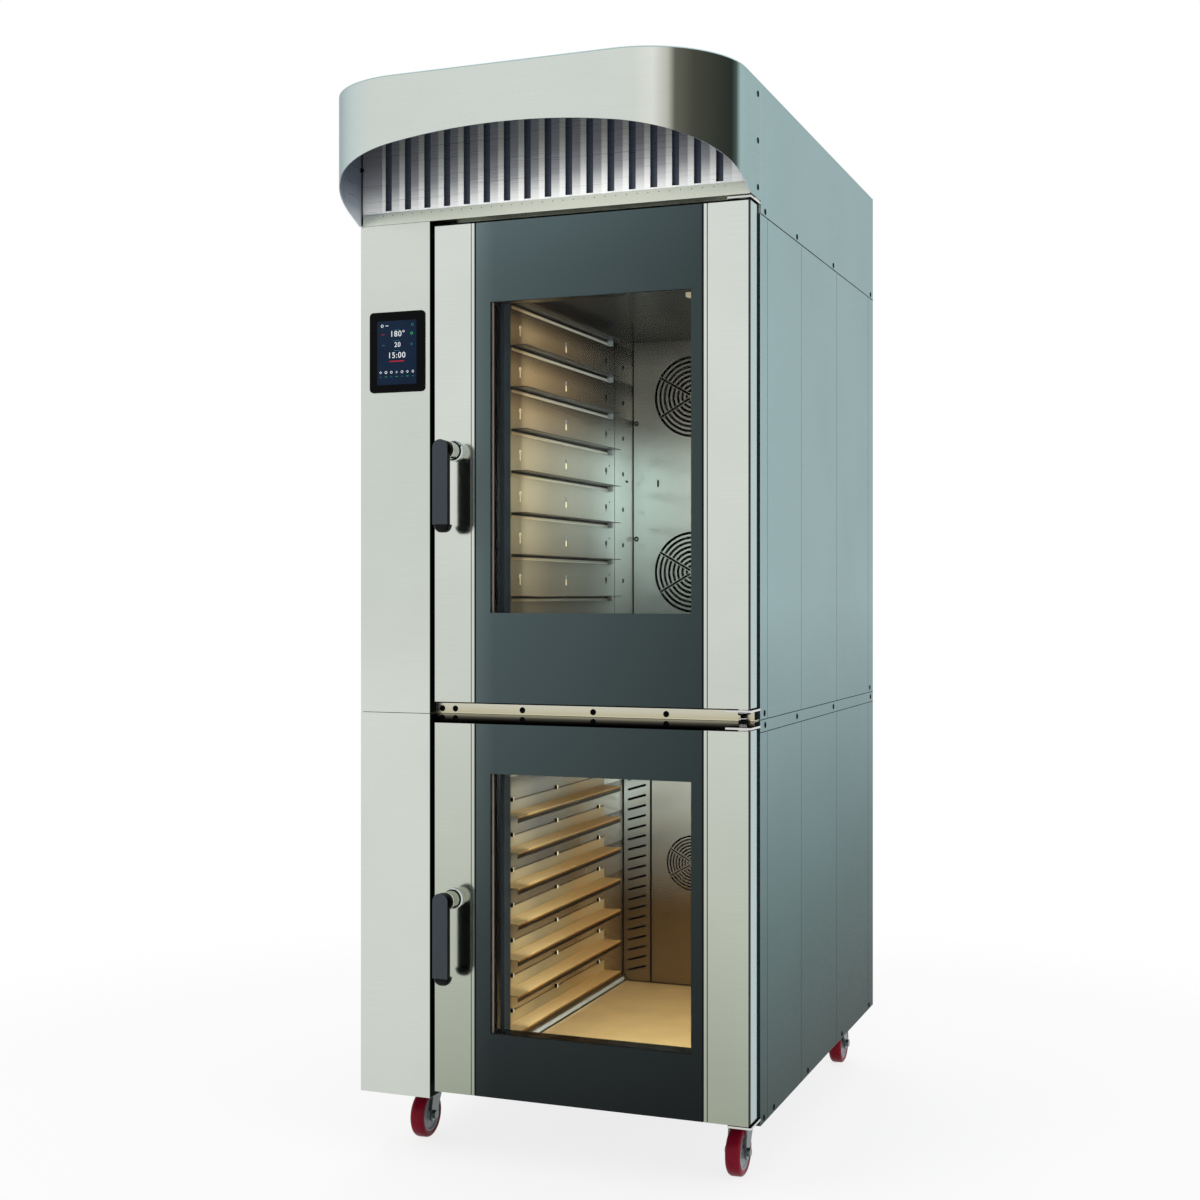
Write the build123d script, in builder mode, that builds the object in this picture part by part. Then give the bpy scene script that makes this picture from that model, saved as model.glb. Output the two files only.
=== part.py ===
from build123d import *
from math import sqrt
import os

# Bakery stack: a convection oven on a proofing cabinet, with a steam hood, on casters.
# Origin on the floor under the middle of the stack, +X right seen from the front, +Y back, +Z up.

# Overall sizes of the stack, in millimetres
overall_width = 860
overall_depth = 1378
hood_projection = 240
caster_height = 136
unit_seam_height = 941
cabinet_top = 1945
hood_top = 2205
body_setback = 65
sheet = 1.5
joint_gap = 0.2
panel_seam = 0.8
overcut = 1

# Planes that everything is placed from
right_face = overall_width / 2
rear_face = overall_depth / 2
hood_front = -overall_depth / 2
front_plane = hood_front + hood_projection
body_front = front_plane + body_setback
inner_half = right_face - sheet - joint_gap

# Side panels, as lengths from the front post back
front_post_depth = 52
front_panel_depth = 276
middle_panel_depth = 336
rear_post_depth = 59
top_flange_height = 25
rear_recess = 4

# Base frame and decks
frame_tube_width = 40
frame_tube_height = 30
frame_tube_wall = 2
bearer_width = 30

# Left column with the controls
column_width = 164
column_door_gap = 15
display_width = 130
display_height = 170
display_side_margin = 22.5
display_rise = 675
display_proud = 4
display_radius = 8
screen_width = 93
screen_height = 135
screen_side_margin = 18.5
screen_bottom_margin = 16
screen_depth = 0.8
board_width = 110
board_height = 150
board_thickness = 1.6
board_standoff = 8
standoff_radius = 3

# Doors
door_proud = 8
door_thickness = 60
door_right_inset = 4
stile_width = 90.5
stile_wall = 2
stile_strip_width = 6
stile_groove_width = 2
stile_groove_depth = 1.2
door_bar_wall = 1.5
door_cap = 4
outer_glass_thickness = 6
inner_glass_thickness = 4
border_thickness = 0.8
glass_gap = 0.8
window_left_border = 36.5
window_right_border = 26.5
window_bar_lap = 4
base_door_gap = 19
lower_seam_gap = 18
upper_seam_gap = 26
hood_door_gap = 11
oven_window_sill = 11
oven_window_head = 37
proofer_window_sill = 80
proofer_window_head = 25

# Door hinges
hinge_inset = 18
hinge_axis_depth = 23
hinge_pin_radius = 6
hinge_pin_length = 24
running_clearance = 0.05
washer_radius = 11
washer_gap = 0.3
bracket_thickness = 4
bracket_reach = 52
top_bracket_reach = 48
bracket_door_gap = 3
pin_head_radius = 9
pin_head_height = 5
bush_radius = 11
bush_length = 30

# Lever handles and their latches
handle_inset = 45
oven_handle_rise = 520
proofer_handle_rise = 405
grip_width = 31
grip_top = 20
grip_face_length = 154
grip_length = 170
grip_thickness = 16
grip_hub_radius = 18.5
grip_hub_length = 10
grip_foot_depth = 30
grip_front = 66
foot_radius = 12
boss_radius = 18
ring_radius = 21.5
ring_length = 8
shaft_radius = 8
cam_thickness = 6
cam_width = 24
cam_length = 40
cam_gap = 1.5
keeper_thickness = 3
keeper_width = 40
keeper_length = 40

# Baking and proofing chambers
chamber_window_margin = 7
proofer_side_recess = 29
throat_depth = 45
throat_width = 20
front_plate = 2
liner = 1.5
chamber_rear_space = 159
fan_space = 104
insulation_thickness = 40
oven_base_space = 200
oven_top_space = 116
proofer_base_space = 70
proofer_top_space = 95
gasket_margin = 8
gasket_width = 14
gasket_clearance = 0.3

# Tray rails
rail_start = 4
oven_rail_end_gap = 186
proofer_rail_end_gap = 133
rail_sheet = 1.5
oven_rail_width = 36
oven_rail_leg = 12
oven_rail_rise = 46
oven_rail_pitch = 89
oven_rail_headroom = 10
proofer_rail_width = 45
proofer_rail_leg = 24
proofer_rail_lip = 12
proofer_rail_rise = 55
proofer_rail_pitch = 76.2
proofer_rail_headroom = 60

# Slotted strip beside the proofing chamber's fan baffle
slot_strip_width = 73
slot_strip_seam = 3
strip_slot_length = 52
strip_slot_width = 6
strip_slot_pitch = 25.5
strip_slot_tilt = 16.5
strip_slot_centre = 40
strip_slot_rise = 35
strip_slot_headroom = 60

# Fans, motors and heating elements
fan_offset = 161
oven_fan_drop = 142
oven_fan_rise = 105
proofer_fan_rise = 309
oven_grille_radius = 102
proofer_grille_radius = 70
grille_rings = 8
grille_hub_radius = 8
grille_slot_share = 0.55
grille_spoke = 8
grille_spoke_angles = (30, 90, 150)
baffle_margin = 3
oven_impeller_radius = 86
proofer_impeller_radius = 62
impeller_width = 52
impeller_plate = 2
impeller_hub_radius = 18
impeller_rim = 14
blade_count = 12
blade_thickness = 2
blade_margin = 2
impeller_setback = 34
fan_shaft_radius = 6
shaft_hole_radius = 9
motor_radius = 55
motor_length = 92
motor_flange_radius = 68
motor_flange = 5
motor_bore_depth = 60
shaft_end_gap = 2
element_radius = 98
proofer_element_radius = 80
element_tube_radius = 4
element_turn_pitch = 18
element_turns = 3
element_terminal_spacing = 28
element_hole_clearance = 0.3
element_terminal_length = 70

# Lamps and water tray
lamp_radius = 28
lamp_depth = 10
lamp_wall_distance = 66
lamp_setback = 120
tray_width = 150
tray_depth = 70
tray_height = 40
tray_wall = 2

# Band between the doors
band_setback = 26
band_top_gap = 4.5
band_bottom_gap = 1.5
band_notch_gap = 2

# Hood
hood_plate = 2
hood_corner_radius = 200
hood_sill_height = 26
ledge_height = 25
skirt_rise = 120
skirt_long_radius = 1470
skirt_deep_radius = 526
arch_overrun = 50
arch_overlap = 5
arch_sweep = 30
filter_setback = 2.2
filter_side_margin = 30
filter_slot_pitch = 45.6
filter_slot_width = 15
filter_slot_rise = 29
filter_slot_drop = 15
filter_channel_depth = 12
filter_channel_lap = 8
filter_rail_height = 14
spigot_radius = 75
spigot_height = 45
spigot_wall = 1.5
spigot_flange = 15
spigot_rear_distance = 239
hood_impeller_radius = 66
hood_motor_length = 70
hood_impeller_gap = 24

# Water and power connections
inlet_radius = 13.2
drain_radius = 20
pipe_wall = 2
pipe_length = 40
inlet_side_distance = 160
drain_side_distance = 240
pipe_rear_distance = 79
gland_side_distance = 100
gland_rise = 194
gland_bore_radius = 9
gland_radius = 16
gland_flange_radius = 21
gland_flange = 3
gland_length = 24

# Screws
screw_radius = 4
screw_head = 1.2
screw_edge = 10
seam_screw_edge = 12
band_screw_offsets = (16, 46, 199, 355.5, 512)
hood_screw_setbacks = (100, 356, 695)
hood_screw_rear_distance = 30
base_screw_setbacks = (91, 167, 452, 785)
base_screw_rear_distance = 47
oven_base_screw_setback = 95
oven_base_screw_rear_distance = 38
hood_seam_screw_rises = (22, 114, 206)

# Casters
wheel_radius = 50
wheel_width = 32
tread_thickness = 14
caster_trail = 30
caster_side_distance = 73.5
front_swivel_setback = 190
rear_swivel_distance = 100
caster_plate_length = 100
caster_plate_width = 88
caster_plate = 4
swivel_gap = 0.5
kingpin_radius = 8
kingpin_head_radius = 13
kingpin_head = 4
fork_head_radius = 34
fork_head_height = 18
fork_wall = 4
fork_side_gap = 0.6
fork_leg_radius = 15
fork_leg_back = 24
fork_leg_front = 27
fork_leg_weld = 6
axle_radius = 6
axle_nut_radius = 9
axle_nut = 6

# Rear ventilation slots
vent_count = 8
vent_pitch = 16
vent_length = 90
vent_width = 6

# Places worked out from the sizes above
column_right = -right_face + column_width
door_left = column_right + column_door_gap
door_right = right_face - door_right_inset
door_front = front_plane - door_proud
door_back = door_front + door_thickness
glass_left = door_left + stile_width
glass_right = door_right - stile_width
window_left = glass_left + window_left_border
window_right = glass_right - window_right_border
chamber_left = window_left - chamber_window_margin
chamber_right = window_right + chamber_window_margin
proofer_left = chamber_left - proofer_side_recess
handle_axis_x = door_left + handle_inset
fan_x = chamber_left + fan_offset
display_left = -right_face + display_side_margin
hinge_x = door_right - hinge_inset
hinge_y = door_front + hinge_axis_depth
throat_back = body_front + throat_depth
rear_inner = rear_face - rear_recess
chamber_back = rear_face - chamber_rear_space
baffle_face = chamber_back - fan_space
spigot_y = rear_face - spigot_rear_distance
pipe_y = rear_face - pipe_rear_distance
gland_x = -right_face + gland_side_distance
low_deck = (caster_height, caster_height + sheet)
proofer_roof = (unit_seam_height - panel_seam / 2 - sheet, unit_seam_height - panel_seam / 2)
oven_deck = (unit_seam_height + panel_seam / 2, unit_seam_height + panel_seam / 2 + sheet)
oven_roof = (cabinet_top - sheet, cabinet_top)
deck_depth = (body_front, rear_inner - sheet - joint_gap)

# Heights worked out from the sizes above
hood_bottom = cabinet_top + hood_sill_height
proofer_floor = caster_height + proofer_base_space
proofer_ceiling = unit_seam_height - proofer_top_space
oven_floor = unit_seam_height + oven_base_space
oven_ceiling = cabinet_top - oven_top_space
proofer_door_bottom = caster_height + base_door_gap
proofer_door_top = unit_seam_height - lower_seam_gap
oven_door_bottom = unit_seam_height + upper_seam_gap
oven_door_top = hood_bottom - hood_door_gap
proofer_window = (proofer_floor + proofer_window_sill, proofer_ceiling - proofer_window_head)
oven_window = (oven_floor + oven_window_sill, oven_ceiling - oven_window_head)
proofer_handle_height = proofer_door_bottom + proofer_handle_rise
oven_handle_height = oven_door_bottom + oven_handle_rise
proofer_fan_height = proofer_floor + proofer_fan_rise
oven_fan_heights = (oven_ceiling - oven_fan_drop, oven_floor + oven_fan_rise)
display_bottom = unit_seam_height + display_rise
gland_height = caster_height + gland_rise

os.makedirs("parts", exist_ok=True)


def save(part, name):
    """Labels a finished piece and writes it under its own name."""
    part.label = name
    export_step(part, f"parts/{name}.step")


def block(x, y, z, mode=Mode.ADD):
    """Adds a block that spans three (low, high) pairs to the part being built."""
    with Locations((sum(x) / 2, sum(y) / 2, sum(z) / 2)):
        Box(x[1] - x[0], y[1] - y[0], z[1] - z[0], mode=mode)


def tube_block(x, y, z, wall, along, mode=Mode.ADD):
    """Adds a rectangular tube that is open at both ends along one axis."""
    block(x, y, z, mode)
    spans = [(x[0] + wall, x[1] - wall), (y[0] + wall, y[1] - wall), (z[0] + wall, z[1] - wall)]
    spans[along] = (x, y, z)[along]
    block(*spans, Mode.SUBTRACT)


def rod_x(x, y, z, radius, mode=Mode.ADD):
    """Adds a cylinder along X over the (low, high) pair x."""
    with Locations(Location((sum(x) / 2, y, z), (0, 90, 0))):
        Cylinder(radius, x[1] - x[0], mode=mode)


def rod_y(x, y, z, radius, mode=Mode.ADD):
    """Adds a cylinder along Y over the (low, high) pair y."""
    with Locations(Location((x, sum(y) / 2, z), (90, 0, 0))):
        Cylinder(radius, y[1] - y[0], mode=mode)


def rod_z(x, y, z, radius, mode=Mode.ADD):
    """Adds a cylinder along Z over the (low, high) pair z."""
    with Locations((x, y, sum(z) / 2)):
        Cylinder(radius, z[1] - z[0], mode=mode)


def mirrored(span, side):
    """Gives a (low, high) pair as it stands on the right (1) or on the left (-1)."""
    return span if side > 0 else (-span[1], -span[0])


# Base frame: bottom deck, four tubes and the four caster plates with their kingpins
caster_x = right_face - caster_side_distance
front_swivel = front_plane + front_swivel_setback
rear_swivel = rear_face - rear_swivel_distance
swivels = {
    "front_left": (-caster_x, front_swivel, -1),
    "front_right": (caster_x, front_swivel, -1),
    "rear_left": (-caster_x, rear_swivel, 1),
    "rear_right": (caster_x, rear_swivel, 1),
}
plate_bottom = caster_height - joint_gap - caster_plate
fork_top = plate_bottom - swivel_gap
fork_head_bottom = fork_top - fork_head_height
tube_low = low_deck[1] + joint_gap
tube_z = (tube_low, tube_low + frame_tube_height)
with BuildPart() as base_frame:
    block((-inner_half, inner_half), deck_depth, low_deck)
    front_bar = (body_front + front_plate + joint_gap, body_front + front_plate + frame_tube_width)
    rear_bar = (deck_depth[1] - frame_tube_width, deck_depth[1])
    for side in (-1, 1):
        tube_block(
            mirrored((inner_half - frame_tube_width, inner_half), side),
            (front_bar[0], rear_bar[1]),
            tube_z,
            frame_tube_wall,
            1,
        )
    cross_half = inner_half - frame_tube_width - joint_gap
    for bar in (front_bar, rear_bar):
        tube_block((-cross_half, cross_half), bar, tube_z, frame_tube_wall, 0)
    for x, y, _ in swivels.values():
        block(
            (x - caster_plate_width / 2, x + caster_plate_width / 2),
            (y - caster_plate_length / 2, y + caster_plate_length / 2),
            (plate_bottom, plate_bottom + caster_plate),
        )
        rod_z(x, y, (fork_head_bottom - swivel_gap, plate_bottom), kingpin_radius)
        rod_z(
            x,
            y,
            (fork_head_bottom - swivel_gap - kingpin_head, fork_head_bottom - swivel_gap),
            kingpin_head_radius,
        )
save(base_frame.part, "base_frame")

# Body frame: the other decks and the bearers that carry the two chambers
with BuildPart() as body_frame:
    for deck in (proofer_roof, oven_deck, oven_roof):
        block((-inner_half, inner_half), deck_depth, deck)
    bearer_depth = (throat_back + joint_gap, chamber_back)
    for low, floor in ((tube_low, proofer_floor), (oven_deck[1] + joint_gap, oven_floor)):
        bearer_top = floor - liner - insulation_thickness - 2 * joint_gap
        for x in (chamber_left + bearer_width, chamber_right - 2 * bearer_width):
            tube_block((x, x + bearer_width), bearer_depth, (low, bearer_top), frame_tube_wall, 1)
save(body_frame.part, "body_frame")


# Side panels: a front post, three panels and a rear post on each side
def side_panels(name, z, flange):
    """Builds both sides of one unit, with a flange strip of that height along the top."""
    lengths = (front_post_depth, front_panel_depth, middle_panel_depth)
    edges = [body_front + sum(lengths[:n]) for n in range(4)]
    edges += [rear_face - rear_post_depth, rear_face]
    with BuildPart() as panels:
        for side in (-1, 1):
            x = mirrored((right_face - sheet, right_face), side)
            top = z[1] - flange
            for front, back in zip(edges, edges[1:]):
                last = 0 if back == rear_face else panel_seam
                block(x, (front, back - last), (z[0], top))
            if flange:
                block(x, (body_front, rear_face), (top + panel_seam, z[1]))
    save(panels.part, name)


side_panels("proofer_side_panels", (caster_height, unit_seam_height - panel_seam / 2), top_flange_height)
side_panels("oven_side_panels", (unit_seam_height + panel_seam / 2, cabinet_top), 0)

# Rear panels of both units, with cooling slots and the hole for the cable gland
with BuildPart() as rear_panels:
    panel_y = (rear_inner - sheet, rear_inner)
    block((-inner_half, inner_half), panel_y, (low_deck[0], proofer_roof[1]))
    block((-inner_half, inner_half), panel_y, (oven_deck[0], oven_roof[1]))
    rod_y(gland_x, panel_y, gland_height, gland_radius + joint_gap, Mode.SUBTRACT)
    with BuildSketch(Plane.XZ.offset(-rear_inner)) as vents:
        for height in (*oven_fan_heights, proofer_fan_height):
            with Locations((fan_x, height)):
                with GridLocations(0, vent_pitch, 1, vent_count):
                    SlotOverall(vent_length, vent_width)
    extrude(amount=2 * sheet, both=True, mode=Mode.SUBTRACT)
save(rear_panels.part, "rear_panels")


# Left column: a folded cover in front of the service space
def column(name, z, window):
    """Builds one column cover, with a cut-out for the display if window is set."""
    with BuildPart() as cover:
        block((-right_face, column_right), (front_plane, body_front - joint_gap), z)
        block(
            (-right_face + sheet, column_right - sheet),
            (front_plane + sheet, body_front),
            (z[0] - overcut, z[1] + overcut),
            Mode.SUBTRACT,
        )
        if window:
            block(
                (display_left + display_radius, display_left + display_width - display_radius),
                (front_plane - overcut, front_plane + sheet + overcut),
                (display_bottom + display_radius, display_bottom + display_height - display_radius),
                Mode.SUBTRACT,
            )
    save(cover.part, name)


column("column_lower", (caster_height, unit_seam_height - panel_seam / 2), False)
column("column_upper", (unit_seam_height + panel_seam / 2, hood_bottom - joint_gap), True)

# Display: bezel, touch screen and the board behind it
screen_left = display_left + screen_side_margin
screen_bottom = display_bottom + screen_bottom_margin
screen_x = (screen_left, screen_left + screen_width)
screen_z = (screen_bottom, screen_bottom + screen_height)
display_centre = (display_left + display_width / 2, display_bottom + display_height / 2)
display_front = front_plane - display_proud
with BuildPart() as display_bezel:
    with BuildSketch(Plane.XZ.offset(-front_plane)):
        with Locations(display_centre):
            RectangleRounded(display_width, display_height, display_radius)
    extrude(amount=display_proud)
    block(screen_x, (display_front - overcut, display_front + screen_depth), screen_z, Mode.SUBTRACT)
save(display_bezel.part, "display_bezel")

with BuildPart() as display_screen:
    block(
        (screen_x[0] + joint_gap, screen_x[1] - joint_gap),
        (display_front, display_front + screen_depth),
        (screen_z[0] + joint_gap, screen_z[1] - joint_gap),
    )
save(display_screen.part, "display_screen")

board_y = front_plane + sheet + board_standoff
with BuildPart() as control_board:
    block(
        (display_centre[0] - board_width / 2, display_centre[0] + board_width / 2),
        (board_y, board_y + board_thickness),
        (display_centre[1] - board_height / 2, display_centre[1] + board_height / 2),
    )
    for side in (-1, 1):
        for end in (-1, 1):
            rod_y(
                display_centre[0] + side * (board_width / 2 - standoff_radius),
                (front_plane + joint_gap, board_y),
                display_centre[1] + end * (board_height / 2 - standoff_radius),
                standoff_radius,
            )
save(control_board.part, "control_board")


# Front frame of one chamber: four front plates and the throat bars that the liner is fixed to
def front_frame(name, z, floor, ceiling, left_bar):
    """Builds the frame between the (low, high) pair z; left_bar is the width of the left throat bar."""
    plate_y = (body_front, body_front + front_plate)
    throat_y = (body_front + front_plate + joint_gap, throat_back)
    with BuildPart() as frame:
        block((column_right - sheet, chamber_left), plate_y, z)
        block((chamber_right, inner_half), plate_y, z)
        middle = (chamber_left + joint_gap, chamber_right - joint_gap)
        block(middle, plate_y, (z[0], floor))
        block(middle, plate_y, (ceiling, z[1]))
        tall = (floor - throat_width, ceiling + throat_width)
        block((chamber_left - left_bar, chamber_left), throat_y, tall)
        block((chamber_right, chamber_right + throat_width), throat_y, tall)
        block(middle, throat_y, (floor - throat_width, floor))
        block(middle, throat_y, (ceiling, ceiling + throat_width))
    save(frame.part, name)


oven_space = (oven_deck[1] + joint_gap, oven_roof[0] - joint_gap)
proofer_space = (low_deck[1] + joint_gap, proofer_roof[0] - joint_gap)
front_frame("oven_front_frame", oven_space, oven_floor, oven_ceiling, throat_width)
front_frame("proofer_front_frame", proofer_space, proofer_floor, proofer_ceiling, proofer_side_recess)


# Chamber liner, insulation and fan baffle
def shaft_holes(y, heights, radius, terminals, reach):
    """Cuts the holes for fan shafts and heating element ends through the part being built."""
    for height in heights:
        rod_y(fan_x, y, height, radius, Mode.SUBTRACT)
        for side in (-1, 1):
            rod_y(
                fan_x + side * element_terminal_spacing / 2,
                y,
                height + reach,
                terminals,
                Mode.SUBTRACT,
            )


def chamber(prefix, left, floor, ceiling, fan_heights, reach):
    """Builds the liner, whose left wall is at left, and the insulation round it."""
    y = (throat_back + joint_gap, chamber_back)
    back = (chamber_back + joint_gap, chamber_back + joint_gap + liner)
    middle = (left + joint_gap, chamber_right - joint_gap)
    tall = (floor - liner, ceiling + liner)
    hole = element_tube_radius + element_hole_clearance
    with BuildPart() as shell:
        block((left - liner, left), y, tall)
        block((chamber_right, chamber_right + liner), y, tall)
        block(middle, y, (floor - liner, floor))
        block(middle, y, (ceiling, ceiling + liner))
        block((left - liner, chamber_right + liner), back, tall)
        shaft_holes(back, fan_heights, shaft_hole_radius, hole, reach)
    save(shell.part, f"{prefix}_chamber")

    # The wool lies against the liner, a small gap away, with plain butt joints
    near = liner + joint_gap
    far = near + insulation_thickness
    wool_y = (throat_back + joint_gap, back[1] + joint_gap + insulation_thickness)
    wool_back = (back[1] + joint_gap, wool_y[1])
    inside = (left - near + joint_gap, chamber_right + near - joint_gap)
    with BuildPart() as wool:
        block((left - far, left - near), wool_y, (floor - far, ceiling + far))
        block((chamber_right + near, chamber_right + far), wool_y, (floor - far, ceiling + far))
        block(inside, (wool_y[0], wool_back[0] - joint_gap), (floor - far, floor - near))
        block(inside, (wool_y[0], wool_back[0] - joint_gap), (ceiling + near, ceiling + far))
        block(inside, wool_back, (floor - far, ceiling + far))
        shaft_holes(wool_back, fan_heights, shaft_hole_radius, hole, reach)
    save(wool.part, f"{prefix}_insulation")


chamber("oven", chamber_left, oven_floor, oven_ceiling, oven_fan_heights, element_radius)
chamber(
    "proofer",
    proofer_left,
    proofer_floor,
    proofer_ceiling,
    (proofer_fan_height,),
    proofer_element_radius,
)


def fan_baffle(name, left, floor, ceiling, heights, radius, strip):
    """Builds the wall in front of the fans, with rings of slots, and a slotted strip beside it if set."""
    ring_pitch = (radius - grille_hub_radius) / grille_rings
    plate_y = (baffle_face, baffle_face + liner)
    plate_z = (floor + joint_gap, ceiling - joint_gap)
    plate_left = left + baffle_margin
    if strip:
        plate_left += slot_strip_width + slot_strip_seam
    with BuildPart() as baffle:
        if strip:
            block((left + baffle_margin, left + baffle_margin + slot_strip_width), plate_y, plate_z)
            first_slot = floor + strip_slot_rise
            slot_count = int((ceiling - strip_slot_headroom - first_slot) / strip_slot_pitch) + 1
            slots_z = [first_slot + n * strip_slot_pitch for n in range(slot_count)]
            with BuildSketch(Plane.XZ.offset(-baffle_face)):
                with Locations(*[(left + strip_slot_centre, z) for z in slots_z]):
                    SlotOverall(strip_slot_length, strip_slot_width, rotation=strip_slot_tilt)
            extrude(amount=2 * liner, both=True, mode=Mode.SUBTRACT)
        block((plate_left, chamber_right - baffle_margin), plate_y, plate_z)
        with BuildSketch(Plane.XZ.offset(-baffle_face)):
            for height in heights:
                with Locations((fan_x, height)):
                    for ring in range(grille_rings):
                        outer = radius - ring * ring_pitch
                        Circle(outer)
                        Circle(outer - ring_pitch * grille_slot_share, mode=Mode.SUBTRACT)
                    for spoke in grille_spoke_angles:
                        Rectangle(2 * (radius + overcut), grille_spoke, rotation=spoke, mode=Mode.SUBTRACT)
        extrude(amount=2 * liner, both=True, mode=Mode.SUBTRACT)
    save(baffle.part, name)


fan_baffle(
    "oven_fan_baffle",
    chamber_left,
    oven_floor,
    oven_ceiling,
    oven_fan_heights,
    oven_grille_radius,
    False,
)
fan_baffle(
    "proofer_fan_baffle",
    proofer_left,
    proofer_floor,
    proofer_ceiling,
    (proofer_fan_height,),
    proofer_grille_radius,
    True,
)


# Tray rails
def rails(name, left, first, last, pitch, end_gap, width, leg, lip):
    """Builds the rails on both walls: leg is above the ledge if positive, below if negative."""
    y_start = throat_back + rail_start
    rail_length = baffle_face - end_gap - y_start
    count = int((last - first) / pitch) + 1
    with BuildPart() as rack:
        for side in (-1, 1):
            wall = left + joint_gap if side < 0 else chamber_right - joint_gap
            inward = -side
            for n in range(count):
                top = first + n * pitch
                end = top + leg
                points = [
                    (wall, top - rail_sheet if leg > 0 else end),
                    (wall, end if leg > 0 else top),
                ]
                if leg > 0:
                    points += [(wall + inward * rail_sheet, end), (wall + inward * rail_sheet, top)]
                points += [(wall + inward * width, top), (wall + inward * width, top - rail_sheet - lip)]
                if lip:
                    points += [
                        (wall + inward * (width - rail_sheet), top - rail_sheet - lip),
                        (wall + inward * (width - rail_sheet), top - rail_sheet),
                    ]
                if leg < 0:
                    points += [
                        (wall + inward * rail_sheet, top - rail_sheet),
                        (wall + inward * rail_sheet, end),
                    ]
                with BuildSketch(Plane.XZ.offset(-y_start)):
                    with BuildLine():
                        Polyline(*points, close=True)
                    make_face()
                extrude(amount=-rail_length)
    save(rack.part, name)


rails(
    "oven_tray_rails",
    chamber_left,
    oven_floor + oven_rail_rise,
    oven_ceiling - oven_rail_headroom,
    oven_rail_pitch,
    oven_rail_end_gap,
    oven_rail_width,
    -oven_rail_leg,
    0,
)
rails(
    "proofer_tray_rails",
    proofer_left,
    proofer_floor + proofer_rail_rise,
    proofer_ceiling - proofer_rail_headroom,
    proofer_rail_pitch,
    proofer_rail_end_gap,
    proofer_rail_width,
    proofer_rail_leg,
    proofer_rail_lip,
)

# Door seals round both chamber mouths
with BuildPart() as door_gaskets:
    seal_y = (door_back + gasket_clearance, body_front)
    for floor, ceiling in ((oven_floor, oven_ceiling), (proofer_floor, proofer_ceiling)):
        seal_x = (chamber_left - gasket_margin - gasket_width, chamber_right + gasket_margin + gasket_width)
        seal_z = (floor - gasket_margin - gasket_width, ceiling + gasket_margin + gasket_width)
        block((seal_x[0], seal_x[0] + gasket_width), seal_y, seal_z)
        block((seal_x[1] - gasket_width, seal_x[1]), seal_y, seal_z)
        between = (seal_x[0] + gasket_width + joint_gap, seal_x[1] - gasket_width - joint_gap)
        block(between, seal_y, (seal_z[0], seal_z[0] + gasket_width))
        block(between, seal_y, (seal_z[1] - gasket_width, seal_z[1]))
save(door_gaskets.part, "door_gaskets")

# Keeper plates that the latch cams bear on
with BuildPart() as latch_keepers:
    for height in (oven_handle_height, proofer_handle_height):
        block(
            (handle_axis_x - keeper_width / 2, handle_axis_x + keeper_width / 2),
            (body_front - keeper_thickness, body_front),
            (height - cam_width / 2 - keeper_length, height - cam_width / 2),
        )
save(latch_keepers.part, "latch_keepers")


# Fans: a back plate, blades and a rim on a shaft that runs in the motor
def impeller(name, plane, radius, shaft_length):
    """Builds an impeller on a plane whose normal points away from the motor."""
    blade_start = impeller_hub_radius - blade_thickness
    blade_end = radius - blade_margin
    with BuildPart() as wheel:
        with BuildSketch(plane):
            Circle(radius)
        extrude(amount=impeller_plate)
        with BuildSketch(plane):
            with PolarLocations((blade_start + blade_end) / 2, blade_count):
                Rectangle(blade_end - blade_start, blade_thickness)
            Circle(impeller_hub_radius)
        extrude(amount=impeller_width)
        with BuildSketch(plane.offset(impeller_width)):
            Circle(radius)
            Circle(radius - impeller_rim, mode=Mode.SUBTRACT)
        extrude(amount=impeller_plate)
        with BuildSketch(plane):
            Circle(fan_shaft_radius)
        extrude(amount=-shaft_length)
    save(wheel.part, name)


wool_end = chamber_back + 2 * joint_gap + liner + insulation_thickness
impeller_back = chamber_back - impeller_setback
shaft_reach = wool_end + joint_gap + motor_flange + motor_bore_depth - shaft_end_gap - impeller_back
for name, height, radius in (
    ("oven_fan_upper", oven_fan_heights[0], oven_impeller_radius),
    ("oven_fan_lower", oven_fan_heights[1], oven_impeller_radius),
    ("proofer_fan", proofer_fan_height, proofer_impeller_radius),
):
    impeller(name, Plane((fan_x, impeller_back, height), (1, 0, 0), (0, -1, 0)), radius, shaft_reach)

hood_motor_top = cabinet_top + joint_gap + hood_motor_length
hood_fan_base = hood_motor_top + hood_impeller_gap
impeller(
    "hood_fan",
    Plane((0, spigot_y, hood_fan_base), (1, 0, 0), (0, 0, 1)),
    hood_impeller_radius,
    hood_impeller_gap + motor_bore_depth - shaft_end_gap,
)

# Motors of all four fans
with BuildPart() as fan_motors:
    flange_y = wool_end + joint_gap
    for height in (*oven_fan_heights, proofer_fan_height):
        rod_y(fan_x, (flange_y, flange_y + motor_flange), height, motor_flange_radius)
        rod_y(fan_x, (flange_y, flange_y + motor_length), height, motor_radius)
        for side in (-1, 1):
            rod_y(
                fan_x + side * element_terminal_spacing / 2,
                (flange_y, flange_y + motor_length),
                height + (element_radius if height in oven_fan_heights else proofer_element_radius),
                element_tube_radius + element_hole_clearance,
                Mode.SUBTRACT,
            )
        rod_y(
            fan_x,
            (flange_y - overcut, flange_y + motor_flange + motor_bore_depth),
            height,
            fan_shaft_radius + running_clearance,
            Mode.SUBTRACT,
        )
    rod_z(0, spigot_y, (cabinet_top + joint_gap, hood_motor_top), motor_radius)
    rod_z(
        0,
        spigot_y,
        (hood_motor_top - motor_bore_depth, hood_motor_top + overcut),
        fan_shaft_radius + running_clearance,
        Mode.SUBTRACT,
    )
save(fan_motors.part, "fan_motors")

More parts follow.
